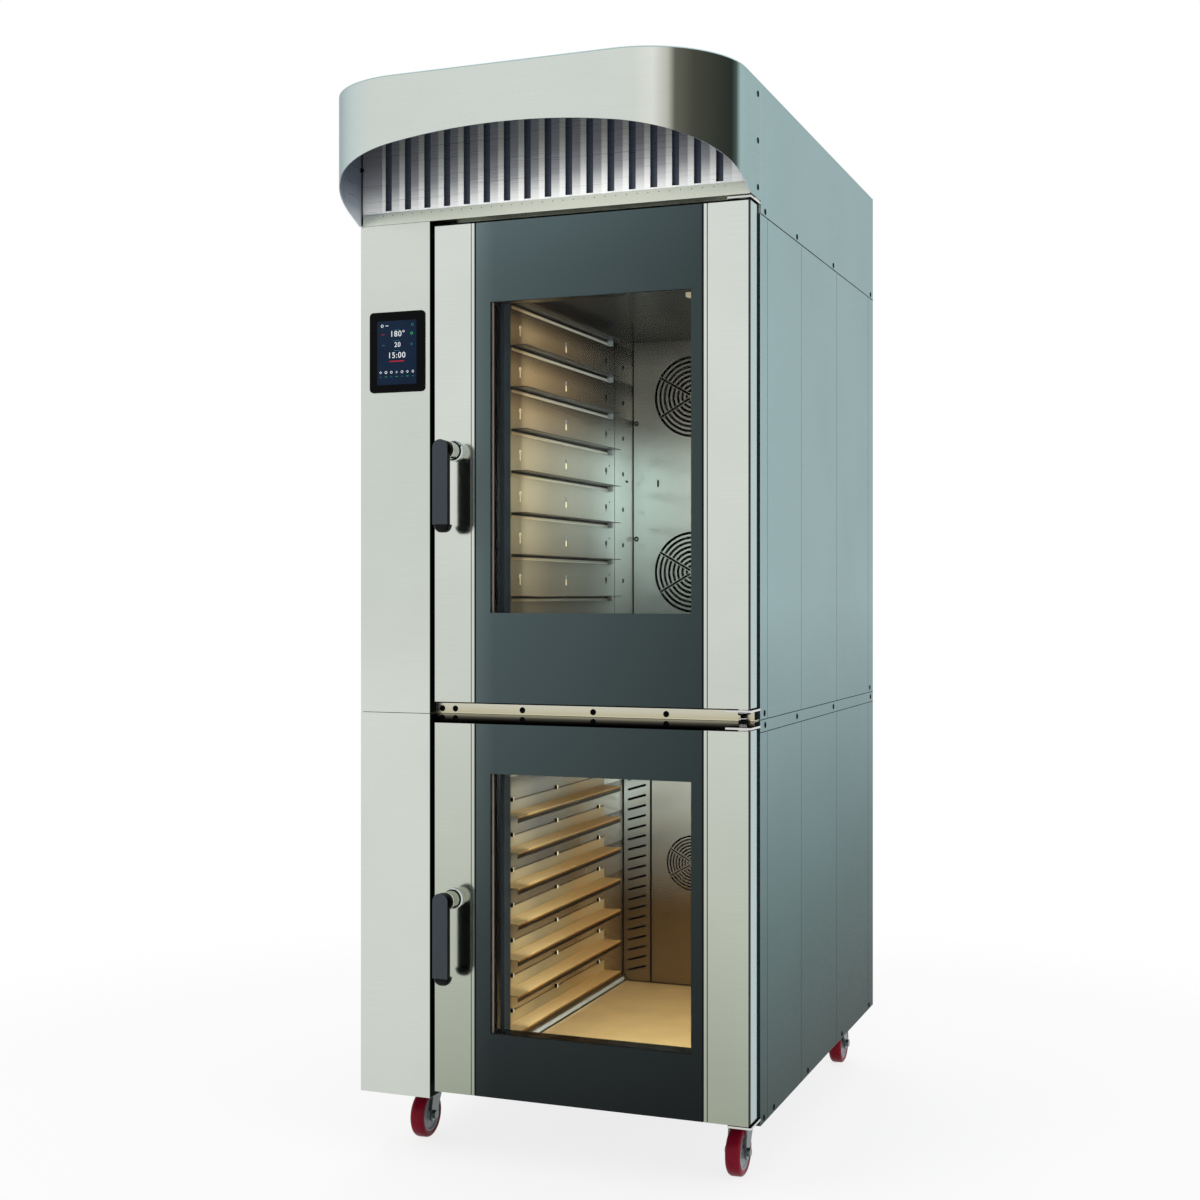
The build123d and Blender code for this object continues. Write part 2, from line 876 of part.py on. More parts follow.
# Heating elements: turns of tube round each fan, with their ends through the back wall
with BuildPart() as heating_elements:
    for height, radius in (
        (oven_fan_heights[0], element_radius),
        (oven_fan_heights[1], element_radius),
        (proofer_fan_height, proofer_element_radius),
    ):
        first_turn = impeller_back - impeller_width / 2 - element_turn_pitch
        for turn in range(element_turns):
            with Locations(Location((fan_x, first_turn + turn * element_turn_pitch, height), (90, 0, 0))):
                Torus(radius, element_tube_radius)
        for side in (-1, 1):
            rod_y(
                fan_x + side * element_terminal_spacing / 2,
                (first_turn, wool_end + joint_gap + element_terminal_length / 2),
                height + radius,
                element_tube_radius,
            )
save(heating_elements.part, "heating_elements")

# Round lamps in both ceilings
with BuildPart() as chamber_lamps:
    for ceiling in (oven_ceiling, proofer_ceiling):
        lamp_x = chamber_right - lamp_wall_distance
        rod_z(lamp_x, throat_back + lamp_setback, (ceiling - lamp_depth, ceiling), lamp_radius)
save(chamber_lamps.part, "chamber_lamps")

# Water tray of the humidifier, behind the proofing chamber's baffle
with BuildPart() as humidifier_tray:
    tray_x = (chamber_right - baffle_margin - tray_width, chamber_right - baffle_margin)
    tray_y = (chamber_back - joint_gap - tray_depth, chamber_back - joint_gap)
    tray_z = (proofer_floor + joint_gap, proofer_floor + joint_gap + tray_height)
    block(tray_x, tray_y, tray_z)
    block(
        (tray_x[0] + tray_wall, tray_x[1] - tray_wall),
        (tray_y[0] + tray_wall, tray_y[1] - tray_wall),
        (tray_z[0] + tray_wall, tray_z[1] + overcut),
        Mode.SUBTRACT,
    )
save(humidifier_tray.part, "humidifier_tray")


# Doors
def door(prefix, z, window_z, handle_height):
    """Builds one door: frame, two panes and the border printed on the outer pane."""
    front_bars = door_front + outer_glass_thickness + border_thickness + 2 * joint_gap
    bar_y = (front_bars, door_back)
    bar_x = (window_left - window_bar_lap, window_right + window_bar_lap)
    bar_z = (window_z[0] - window_bar_lap, window_z[1] + window_bar_lap)
    stiles_x = ((door_left, glass_left), (glass_right, door_right))
    rail_x = (glass_left + joint_gap, glass_right - joint_gap)
    with BuildPart() as frame:
        for x in stiles_x:
            block(x, (door_front, door_back), z)
            block(
                (x[0] + stile_wall, x[1] - stile_wall),
                (door_front + stile_wall, door_back - stile_wall),
                (z[0] + door_cap, z[1] - door_cap),
                Mode.SUBTRACT,
            )
        groove_y = (door_front - overcut, door_front + stile_groove_depth)
        groove_far = stile_strip_width + stile_groove_width
        for edge, side in ((glass_left, -1), (glass_right, 1)):
            groove_x = sorted((edge + side * stile_strip_width, edge + side * groove_far))
            block(groove_x, groove_y, (z[0] - overcut, z[1] + overcut), Mode.SUBTRACT)
        for end, bush in ((z[0], (z[0], z[0] + bush_length)), (z[1], (z[1] - bush_length, z[1]))):
            rod_z(hinge_x, hinge_y, bush, bush_radius)
            rod_z(hinge_x, hinge_y, bush, hinge_pin_radius + running_clearance, Mode.SUBTRACT)
        shaft_bore = shaft_radius + running_clearance
        rod_y(handle_axis_x, (door_front, door_back), handle_height, shaft_bore, Mode.SUBTRACT)
        tube_block(rail_x, bar_y, (z[0], bar_z[0]), door_bar_wall, 0)
        tube_block(rail_x, bar_y, (bar_z[1], z[1]), door_bar_wall, 0)
        post_z = (bar_z[0] + joint_gap, bar_z[1] - joint_gap)
        tube_block((rail_x[0], bar_x[0]), bar_y, post_z, door_bar_wall, 2)
        tube_block((bar_x[1], rail_x[1]), bar_y, post_z, door_bar_wall, 2)
    save(frame.part, f"{prefix}_door_frame")

    pane_x = (glass_left + glass_gap, glass_right - glass_gap)
    pane_y = (door_front, door_front + outer_glass_thickness)
    with BuildPart() as panes:
        block(pane_x, pane_y, z)
        block(
            (bar_x[0] + joint_gap, bar_x[1] - joint_gap),
            (door_back - door_bar_wall - inner_glass_thickness, door_back - door_bar_wall),
            (bar_z[0] + joint_gap, bar_z[1] - joint_gap),
        )
    save(panes.part, f"{prefix}_door_glass")

    border_y = (pane_y[1] + joint_gap / 2, pane_y[1] + joint_gap / 2 + border_thickness)
    with BuildPart() as border:
        block(pane_x, border_y, z)
        cut_y = (border_y[0] - overcut, border_y[1] + overcut)
        block((window_left, window_right), cut_y, window_z, Mode.SUBTRACT)
    save(border.part, f"{prefix}_door_border")


# Handle: a shaft with its boss, ring and cam, and the grip on the front of it
def handle(prefix, height):
    """Builds one lever handle about its shaft at that height."""
    grip_face = door_front - grip_front
    grip_y = (grip_face, grip_face + grip_thickness)
    hub_end = grip_y[1] + grip_hub_length
    boss_end = door_front - joint_gap
    cam_y = (door_back + cam_gap, door_back + cam_gap + cam_thickness)
    with BuildPart() as latch:
        rod_y(handle_axis_x, (hub_end, cam_y[1]), height, shaft_radius)
        rod_y(handle_axis_x, (hub_end + joint_gap, boss_end), height, boss_radius)
        rod_y(handle_axis_x, (boss_end - ring_length, boss_end), height, ring_radius)
        block(
            (handle_axis_x - cam_width / 2, handle_axis_x + cam_width / 2),
            cam_y,
            (height - cam_length, height + cam_width / 2),
        )
    save(latch.part, f"{prefix}_latch")

    half = grip_width / 2
    with BuildPart() as grip:
        with BuildSketch(Plane.XZ.offset(-grip_y[1])):
            with BuildLine():
                left_top = (handle_axis_x - half, height + grip_top - half)
                right_top = (handle_axis_x + half, height + grip_top - half)
                Polyline(
                    left_top,
                    (handle_axis_x - half, height - grip_length),
                    (handle_axis_x + half, height - grip_length),
                    right_top,
                )
                ThreePointArc(right_top, (handle_axis_x, height + grip_top), left_top)
            make_face()
        extrude(amount=grip_thickness)
        block(
            (handle_axis_x - half, handle_axis_x + half),
            (grip_y[0], grip_y[0] + grip_foot_depth),
            (height - grip_length, height - grip_face_length),
        )
        foot_edges = grip.edges().filter_by(Axis.X).group_by(Axis.Z)[0]
        fillet(foot_edges, foot_radius)
        rod_y(handle_axis_x, (grip_y[1] - joint_gap, hub_end), height, grip_hub_radius)
    save(grip.part, f"{prefix}_grip")


door(
    "oven",
    (oven_door_bottom, oven_door_top),
    oven_window,
    oven_handle_height,
)
handle("oven", oven_handle_height)
door(
    "proofer",
    (proofer_door_bottom, proofer_door_top),
    proofer_window,
    proofer_handle_height,
)
handle("proofer", proofer_handle_height)

# Hinge brackets, each a plate with its pin, thrust washer and pin head
with BuildPart() as hinge_brackets:
    for door_edge, away, reach in (
        (proofer_door_bottom, -1, top_bracket_reach),
        (proofer_door_top, 1, bracket_reach),
        (oven_door_bottom, -1, bracket_reach),
        (oven_door_top, 1, top_bracket_reach),
    ):
        near = door_edge + away * bracket_door_gap
        far = near + away * bracket_thickness
        block(
            (right_face - reach, right_face),
            (front_plane - door_proud / 2, body_front - joint_gap),
            (min(near, far), max(near, far)),
        )
        pin_end = door_edge - away * hinge_pin_length
        rod_z(hinge_x, hinge_y, (min(pin_end, near), max(pin_end, near)), hinge_pin_radius)
        washer = door_edge + away * washer_gap
        rod_z(hinge_x, hinge_y, (min(washer, near), max(washer, near)), washer_radius)
        if reach == bracket_reach:
            head = far + away * pin_head_height
            rod_z(hinge_x, hinge_y, (min(far, head), max(far, head)), pin_head_radius)
    top_plate = oven_door_top + bracket_door_gap + bracket_thickness
    block(
        (right_face - top_bracket_reach, inner_half),
        (body_front - body_setback / 2, body_front - joint_gap),
        (top_plate, hood_bottom - joint_gap),
    )
save(hinge_brackets.part, "hinge_brackets")

# Band between the doors: the top edge of the lower unit and the bottom edge of the upper one
band_y = (front_plane + band_setback, body_front - joint_gap)
notch_x = right_face - bracket_reach - band_notch_gap
with BuildPart() as mid_band:
    for outer, inner, seam in (
        (oven_door_bottom - band_top_gap, oven_door_bottom - bracket_door_gap - bracket_thickness, 1),
        (proofer_door_top + band_bottom_gap, proofer_door_top + bracket_door_gap + bracket_thickness, -1),
    ):
        edge = unit_seam_height + seam * panel_seam / 2
        step = inner - seam * joint_gap * 2
        with BuildSketch(Plane.XZ.offset(-band_y[0])):
            with BuildLine():
                Polyline(
                    (column_right + joint_gap, edge),
                    (inner_half, edge),
                    (inner_half, step),
                    (notch_x, step),
                    (notch_x, outer),
                    (column_right + joint_gap, outer),
                    close=True,
                )
            make_face()
        extrude(amount=-sheet)
        lip = (min(edge, edge + seam * sheet), max(edge, edge + seam * sheet))
        block((column_right + joint_gap, inner_half), band_y, lip)
save(mid_band.part, "mid_band")

# Hood skirt: a sheet bent round two corners, with its lower edge cut to an arch
skirt_top = hood_top - hood_plate - joint_gap
side_seam = body_front + panel_seam * 2
with BuildPart() as hood_skirt:
    with BuildSketch(Plane.XY.offset(hood_bottom)):
        for inset, mode in ((0, Mode.ADD), (hood_plate, Mode.SUBTRACT)):
            with BuildLine():
                half = right_face - inset
                corner = hood_corner_radius - inset
                front = hood_front + inset
                near = front + corner
                flat = half - corner
                diagonal = corner * (1 - 1 / sqrt(2))
                Line((half, side_seam), (half, near))
                ThreePointArc((half, near), (half - diagonal, front + diagonal), (flat, front))
                Line((flat, front), (-flat, front))
                ThreePointArc((-flat, front), (-half + diagonal, front + diagonal), (-half, near))
                Line((-half, near), (-half, side_seam))
                Line((-half, side_seam), (half, side_seam))
            make_face(mode=mode)
    extrude(amount=skirt_top - hood_bottom)
    crown = hood_bottom + skirt_rise
    arch_axis = Axis((0, 0, crown - skirt_long_radius), (0, 1, 0))
    arch_base = crown - 2 * skirt_rise
    arch_y = (hood_front - arch_overrun, hood_front + hood_projection / 2, front_plane + arch_overlap)
    start, middle, end = [
        (y, crown - skirt_deep_radius + sqrt(skirt_deep_radius**2 - (y - hood_front) ** 2)) for y in arch_y
    ]
    with BuildSketch(Plane.YZ) as arch:
        with BuildLine():
            ThreePointArc(start, middle, end)
            Polyline(end, (end[0], arch_base), (start[0], arch_base), start)
        make_face()
    for turn in (-arch_sweep, arch_sweep):
        revolve(arch.sketch, axis=arch_axis, revolution_arc=turn, mode=Mode.SUBTRACT)
save(hood_skirt.part, "hood_skirt")

with BuildPart() as hood_side_panels:
    for side in (-1, 1):
        block(
            mirrored((right_face - sheet, right_face), side),
            (side_seam + panel_seam, rear_face),
            (cabinet_top + panel_seam / 2, skirt_top),
        )
save(hood_side_panels.part, "hood_side_panels")

with BuildPart() as hood_roof:
    with BuildSketch(Plane.XY.offset(hood_top - hood_plate)) as roof:
        Rectangle(overall_width, overall_depth)
        fillet(roof.vertices().group_by(Axis.Y)[0], hood_corner_radius)
        with Locations((0, spigot_y)):
            Circle(spigot_radius - spigot_wall, mode=Mode.SUBTRACT)
    extrude(amount=hood_plate)
save(hood_roof.part, "hood_roof")

with BuildPart() as hood_rear_panel:
    block(
        (-inner_half, inner_half),
        (rear_inner - sheet, rear_inner),
        (cabinet_top + panel_seam / 2, skirt_top),
    )
save(hood_rear_panel.part, "hood_rear_panel")

# Ledge under the hood: front strip, tray and the sill on the oven's roof
ledge_half = right_face - hood_plate - joint_gap
with BuildPart() as hood_ledge:
    ledge_x = (-ledge_half, ledge_half)
    tray_y = (front_plane + sheet + joint_gap, body_front - joint_gap)
    block(ledge_x, (front_plane, front_plane + sheet), (hood_bottom, hood_bottom + ledge_height))
    block(ledge_x, tray_y, (hood_bottom, hood_bottom + sheet))
    block(ledge_x, (body_front, body_front + sheet), (cabinet_top + joint_gap, hood_bottom + sheet))
save(hood_ledge.part, "hood_ledge")

# Grease and steam filter: a slotted front sheet with a channel behind each slot
filter_y = front_plane + filter_setback
slot_z = (hood_bottom + filter_slot_rise, hood_top - filter_slot_drop)
slot_count = int((overall_width - 2 * filter_side_margin) / filter_slot_pitch)
with BuildPart() as hood_filter:
    block(
        (-ledge_half, ledge_half),
        (filter_y, filter_y + sheet),
        (hood_bottom + sheet + joint_gap, skirt_top - joint_gap),
    )
    slot_x = [(n - (slot_count - 1) / 2) * filter_slot_pitch for n in range(slot_count)]
    for x in slot_x:
        half = filter_slot_width / 2
        block((x - half, x + half), (filter_y - overcut, filter_y + sheet + overcut), slot_z, Mode.SUBTRACT)
    rail_y = (filter_y + sheet + joint_gap, filter_y + sheet + filter_channel_depth)
    rail_end = slot_x[-1] + filter_slot_pitch / 2
    upper_end = slot_z[1] + joint_gap
    block((-rail_end, rail_end), rail_y, (slot_z[0] - filter_rail_height, slot_z[0] - joint_gap))
    block((-rail_end, rail_end), rail_y, (upper_end, upper_end + filter_rail_height / 2))
    for x in slot_x:
        half = filter_slot_width / 2 + filter_channel_lap
        block((x - half, x + half), (rail_y[1] - sheet, rail_y[1]), slot_z)
save(hood_filter.part, "hood_filter")

with BuildPart() as exhaust_spigot:
    rod_z(0, spigot_y, (hood_top, hood_top + spigot_height), spigot_radius)
    rod_z(0, spigot_y, (hood_top, hood_top + sheet), spigot_radius + spigot_flange)
    rod_z(0, spigot_y, (hood_top, hood_top + spigot_height), spigot_radius - spigot_wall, Mode.SUBTRACT)
save(exhaust_spigot.part, "exhaust_spigot")

# Water inlet and drain under the rear of the base, and the cable gland
with BuildPart() as water_fittings:
    pipe_z = (caster_height - joint_gap - pipe_length, caster_height - joint_gap)
    for side_distance, radius in (
        (inlet_side_distance, inlet_radius),
        (drain_side_distance, drain_radius),
    ):
        x = -right_face + side_distance
        rod_z(x, pipe_y, pipe_z, radius)
        rod_z(x, pipe_y, pipe_z, radius - pipe_wall, Mode.SUBTRACT)
save(water_fittings.part, "water_fittings")

with BuildPart() as cable_gland:
    gland_y = (rear_inner - gland_length, rear_inner + gland_flange)
    rod_y(gland_x, gland_y, gland_height, gland_radius)
    rod_y(gland_x, (rear_inner, rear_inner + gland_flange), gland_height, gland_flange_radius)
    rod_y(gland_x, gland_y, gland_height, gland_bore_radius, Mode.SUBTRACT)
save(cable_gland.part, "cable_gland")

# Screw heads on both sides and on the band
with BuildPart() as panel_screws:
    for side in (-1, 1):
        x = mirrored((right_face, right_face + screw_head), side)
        for setbacks, rear_distance, heights in (
            (
                hood_screw_setbacks,
                hood_screw_rear_distance,
                (cabinet_top + panel_seam / 2 + screw_edge, unit_seam_height - seam_screw_edge),
            ),
            (
                (oven_base_screw_setback,),
                oven_base_screw_rear_distance,
                (unit_seam_height + seam_screw_edge,),
            ),
            (base_screw_setbacks, base_screw_rear_distance, (caster_height + screw_edge,)),
        ):
            for z in heights:
                for setback in setbacks:
                    rod_x(x, front_plane + setback, z, screw_radius)
                rod_x(x, rear_face - rear_distance, z, screw_radius)
        for rise in hood_seam_screw_rises:
            rod_x(x, side_seam - 2 * screw_edge, hood_bottom + rise, screw_radius)
    for offset in band_screw_offsets:
        for z in (unit_seam_height - screw_edge, unit_seam_height + screw_edge):
            rod_y(column_right + offset, (band_y[0] - screw_head, band_y[0]), z, screw_radius)
save(panel_screws.part, "panel_screws")


# Casters
def caster(name, x, y, lead):
    """Builds one fork with its axle, and the wheel; lead is the side that the wheel trails to."""
    axle_y = y + lead * caster_trail
    wheel_half = wheel_width / 2
    leg_low = wheel_half + fork_side_gap
    with BuildPart() as fork:
        rod_z(x, y, (fork_head_bottom, fork_top), fork_head_radius)
        kingpin_bore = (fork_head_bottom - overcut, fork_top + overcut)
        rod_z(x, y, kingpin_bore, kingpin_radius + running_clearance, Mode.SUBTRACT)
        for side in (-1, 1):
            leg_plane = Plane.YZ.offset(x + side * leg_low)
            with BuildSketch(leg_plane):
                with BuildLine():
                    Polyline(
                        (axle_y - lead * fork_leg_radius, wheel_radius),
                        (y - lead * fork_leg_back, fork_head_bottom + fork_leg_weld),
                        (y + lead * fork_leg_front, fork_head_bottom + fork_leg_weld),
                        (axle_y + lead * fork_leg_radius, wheel_radius),
                        close=True,
                    )
                make_face()
                with Locations((axle_y, wheel_radius)):
                    Circle(fork_leg_radius)
            extrude(amount=side * fork_wall)
        end = leg_low + fork_wall + axle_nut
        rod_x((x - end, x + end), axle_y, wheel_radius, axle_radius)
        for side in (-1, 1):
            nut = sorted((x + side * (leg_low + fork_wall), x + side * end))
            rod_x(nut, axle_y, wheel_radius, axle_nut_radius)
    save(fork.part, f"caster_fork_{name}")

    hub_radius = wheel_radius - tread_thickness
    with BuildPart() as wheel:
        rod_x((x - wheel_half, x + wheel_half), axle_y, wheel_radius, hub_radius)
        rod_x((x - wheel_half, x + wheel_half), axle_y, wheel_radius, wheel_radius)
        outer_rims = wheel.edges().filter_by(GeomType.CIRCLE).sort_by(SortBy.RADIUS)[-2:]
        fillet(outer_rims, tread_thickness / 2)
        axle_bore = (x - wheel_half - overcut, x + wheel_half + overcut)
        rod_x(axle_bore, axle_y, wheel_radius, axle_radius + running_clearance, Mode.SUBTRACT)
    save(wheel.part, f"caster_wheel_{name}")


for name, (x, y, lead) in swivels.items():
    caster(name, x, y, lead)
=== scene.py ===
"""Looks of a bakery stack: a convection oven on a proofing cabinet, under a steam hood, on casters."""

import logging
import math
from dataclasses import dataclass, replace
from enum import Enum

import bmesh
import bpy
from mathutils import Matrix, Vector


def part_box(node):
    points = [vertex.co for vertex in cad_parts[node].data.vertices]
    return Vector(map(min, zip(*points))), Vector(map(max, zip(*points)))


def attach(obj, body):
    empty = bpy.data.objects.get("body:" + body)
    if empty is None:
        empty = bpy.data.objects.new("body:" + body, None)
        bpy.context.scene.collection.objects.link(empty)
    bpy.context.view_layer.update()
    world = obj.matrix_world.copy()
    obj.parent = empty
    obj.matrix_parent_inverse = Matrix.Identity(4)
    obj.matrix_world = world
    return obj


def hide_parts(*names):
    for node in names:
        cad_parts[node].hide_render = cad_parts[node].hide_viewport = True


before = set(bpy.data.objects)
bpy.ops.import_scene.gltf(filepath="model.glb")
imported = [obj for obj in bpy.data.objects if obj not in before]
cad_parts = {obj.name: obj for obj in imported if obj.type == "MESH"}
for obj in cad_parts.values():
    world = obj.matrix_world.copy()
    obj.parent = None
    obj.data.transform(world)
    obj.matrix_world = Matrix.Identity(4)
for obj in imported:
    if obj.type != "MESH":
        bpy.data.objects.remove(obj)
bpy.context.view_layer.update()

log = logging.getLogger("bakery_stack")

MM = 0.001
SHARP = math.radians(32)
EDGE_ANGLE = math.radians(50)
WELD_MM = 0.02
# Teal that satin stainless shows in the studio: a painted reflection of its surroundings.
TEAL_PAINTED_REFLECTION = "#94ACAB"
WHITE = "#FFFFFF"
# The noise stays between these two values nearly everywhere.
NOISE_LOW, NOISE_HIGH = 0.3, 0.7
# Share by which the grain makes a surface rougher and smoother.
ROUGH_SPREAD = 0.15

Tree = bpy.types.NodeTree
Socket = bpy.types.NodeSocket
Point = tuple[float, float, float]
Pair = tuple[float, float]
Outline = list[Pair]
Profile = tuple[Pair, ...]
Stops = tuple[tuple[float, str], ...]
Corners = tuple[Vector, Vector]
Colour = Socket | tuple[float, float, float, float]


class Unit(Enum):
    """The two stacked units."""

    OVEN = "oven"
    PROOFER = "proofer"


class Face(Enum):
    """Drawing planes, as the world axes of (across, up, out)."""

    FRONT = (0, 2, 1)
    SIDE = (1, 2, 0)
    FLOOR = (0, 1, 2)

    def at(self, across: float, up: float, out: float) -> Vector:
        """Gives the world point of a place on this plane.

        Args:
            across: Place along the plane's first axis.
            up: Place along its second axis.
            out: Place along the axis that stands on it.

        Returns:
            The point, in the unit of the three values.
        """
        point = Vector((0, 0, 0))
        for axis, value in zip(self.value, (across, up, out)):
            point[axis] = value
        return point


def linear(colour: str) -> tuple[float, float, float, float]:
    """Turns an sRGB hex colour into linear light.

    Args:
        colour: Six hex digits after a hash.

    Returns:
        Red, green, blue and alpha.
    """
    parts = [int(colour[i : i + 2], 16) / 255 for i in (1, 3, 5)]
    lit = [c / 12.92 if c <= 0.04045 else ((c + 0.055) / 1.055) ** 2.4 for c in parts]
    return (lit[0], lit[1], lit[2], 1.0)


def add(tree: Tree, kind: str, inputs: dict | None = None, **settings: object) -> bpy.types.Node:
    """Adds a node with its settings, and feeds its inputs with values or links.

    Args:
        tree: Node tree to add to.
        kind: Type name of the node, after its ShaderNode.
        inputs: Values or output sockets, by input name or number.
        **settings: Properties of the node; stops gives a colour ramp's places and colours.

    Returns:
        The node.
    """
    node = tree.nodes.new(f"ShaderNode{kind}")
    stops = settings.pop("stops", None)
    for key, value in settings.items():
        setattr(node, key, value)
    if stops:
        marks = node.color_ramp.elements
        while len(marks) < len(stops):
            marks.new(1.0)
        for mark, (place, colour) in zip(marks, stops):
            mark.position = place
            mark.color = linear(colour)
    for key, value in (inputs or {}).items():
        if isinstance(value, Socket):
            tree.links.new(value, node.inputs[key])
        else:
            node.inputs[key].default_value = value
    return node


def bring_in(thing: bpy.types.Object) -> None:
    """Puts an object into the scene."""
    bpy.context.scene.collection.objects.link(thing)


@dataclass(frozen=True)
class Finish:
    """A surface finish; the plain one is an even colour with a fine mottle."""

    name: str
    colour: str
    roughness: float = 0.5
    metallic: float = 0.0
    mottle_mm: float = 12.0
    mottle: float = 0.05
    relief_mm: float = 0.02
    specular: float = 0.5

    def material(self) -> bpy.types.Material:
        """Gives the material of this finish, made on first use.

        Returns:
            The material.
        """
        found = bpy.data.materials.get(self.name)
        if found:
            return found
        material = bpy.data.materials.new(self.name)
        material.use_nodes = True
        tree = material.node_tree
        tree.nodes.clear()
        output = add(tree, "OutputMaterial")
        tree.links.new(self.shade(tree), output.inputs["Surface"])
        return material

    def along(self, tree: Tree, axis: str) -> Socket:
        """Gives the place on the resting piece along an axis, in metres."""
        place = add(tree, "TexCoord").outputs["Object"]
        return add(tree, "SeparateXYZ", {0: place}).outputs[axis]

    def facing(self, tree: Tree, axis: str) -> Socket:
        """Gives how far the surface faces along an axis, from -1 to 1."""
        normal = add(tree, "TexCoord").outputs["Normal"]
        return add(tree, "SeparateXYZ", {0: normal}).outputs[axis]

    def grain(self, tree: Tree, spacing: Point, detail: float = 4.0) -> Socket:
        """Adds noise with the given spacing along each axis.

        Args:
            tree: The material's nodes.
            spacing: Distance between light and dark, in millimetres, along X, Y and Z.
            detail: Octaves of the noise.

        Returns:
            The noise, about 0.5.
        """
        place = add(tree, "TexCoord").outputs["Object"]
        inputs = {0: place, 1: tuple(1 / (step * MM) for step in spacing)}
        scaled = add(tree, "VectorMath", inputs, operation="MULTIPLY")
        inputs = {"Vector": scaled.outputs[0], "Scale": 1.0, "Detail": detail}
        return add(tree, "TexNoise", inputs).outputs["Fac"]

    def uneven(self, tree: Tree, noise: Socket, value: float, spread: float) -> Socket:
        """Gives a value that moves up and down with noise.

        Args:
            tree: The material's nodes.
            noise: Noise, about 0.5.
            value: The value in the middle.
            spread: How far it moves each way, as a share of the value.

        Returns:
            The value over the surface.
        """
        inputs = {"Value": noise, "From Min": NOISE_LOW, "From Max": NOISE_HIGH}
        inputs |= {"To Min": value * (1 - spread), "To Max": value * (1 + spread)}
        return add(tree, "MapRange", inputs).outputs["Result"]

    def mottled(self, tree: Tree, colour: Colour, noise: Socket, spread: float) -> Socket:
        """Makes a colour lighter and darker with noise.

        Args:
            tree: The material's nodes.
            colour: The colour in the middle.
            noise: Noise, about 0.5.
            spread: How far it moves each way, as a share of the colour.

        Returns:
            The colour over the surface.
        """
        base = colour[:3] if isinstance(colour, tuple) else colour
        inputs = {0: base, "Scale": self.uneven(tree, noise, 1.0, spread)}
        return add(tree, "VectorMath", inputs, operation="SCALE").outputs[0]

    def either(self, tree: Tree, value: Socket, limit: float, below: Colour, above: Colour) -> Socket:
        """Gives one colour up to a limit of a value, and another beyond it.

        Args:
            tree: The material's nodes.
            value: Value over the surface.
            limit: Where the colour changes.
            below: Colour up to the limit.
            above: Colour beyond it.

        Returns:
            The colour over the surface.
        """
        beyond = add(tree, "Math", {0: value, 1: limit}, operation="GREATER_THAN").outputs[0]
        inputs = {"Factor": beyond, 6: below, 7: above}
        return add(tree, "Mix", inputs, data_type="RGBA").outputs[2]

    def ramp(self, tree: Tree, axis: str, marks: Stops) -> Socket:
        """Gives a colour by the place along an axis.

        Args:
            tree: The material's nodes.
            axis: Name of the axis.
            marks: Places in millimetres with their colours, in order.

        Returns:
            The colour over the surface.
        """
        low, high = marks[0][0], marks[-1][0]
        inputs = {"Value": self.along(tree, axis), "From Min": low * MM, "From Max": high * MM}
        level = add(tree, "MapRange", inputs)
        stops = tuple(((mark - low) / (high - low), colour) for mark, colour in marks)
        return add(tree, "ValToRGB", {"Fac": level.outputs[0]}, stops=stops).outputs["Color"]

    def tone(self, tree: Tree) -> Colour:
        """Gives the colour before the mottle."""
        return linear(self.colour)

    def shade(self, tree: Tree) -> Socket:
        """Builds the shader.

        Args:
            tree: The material's nodes.

        Returns:
            The shader's output.
        """
        noise = self.grain(tree, (self.mottle_mm,) * 3)
        inputs = {"Height": noise, "Strength": 0.5, "Distance": self.relief_mm * MM}
        bump = add(tree, "Bump", inputs)
        inputs = {
            "Base Color": self.mottled(tree, self.tone(tree), noise, self.mottle),
            "Metallic": self.metallic,
            "Roughness": self.uneven(tree, noise, self.roughness, ROUGH_SPREAD),
            "Specular IOR Level": self.specular,
            "Normal": bump.outputs["Normal"],
        }
        return add(tree, "BsdfPrincipled", inputs).outputs["BSDF"]


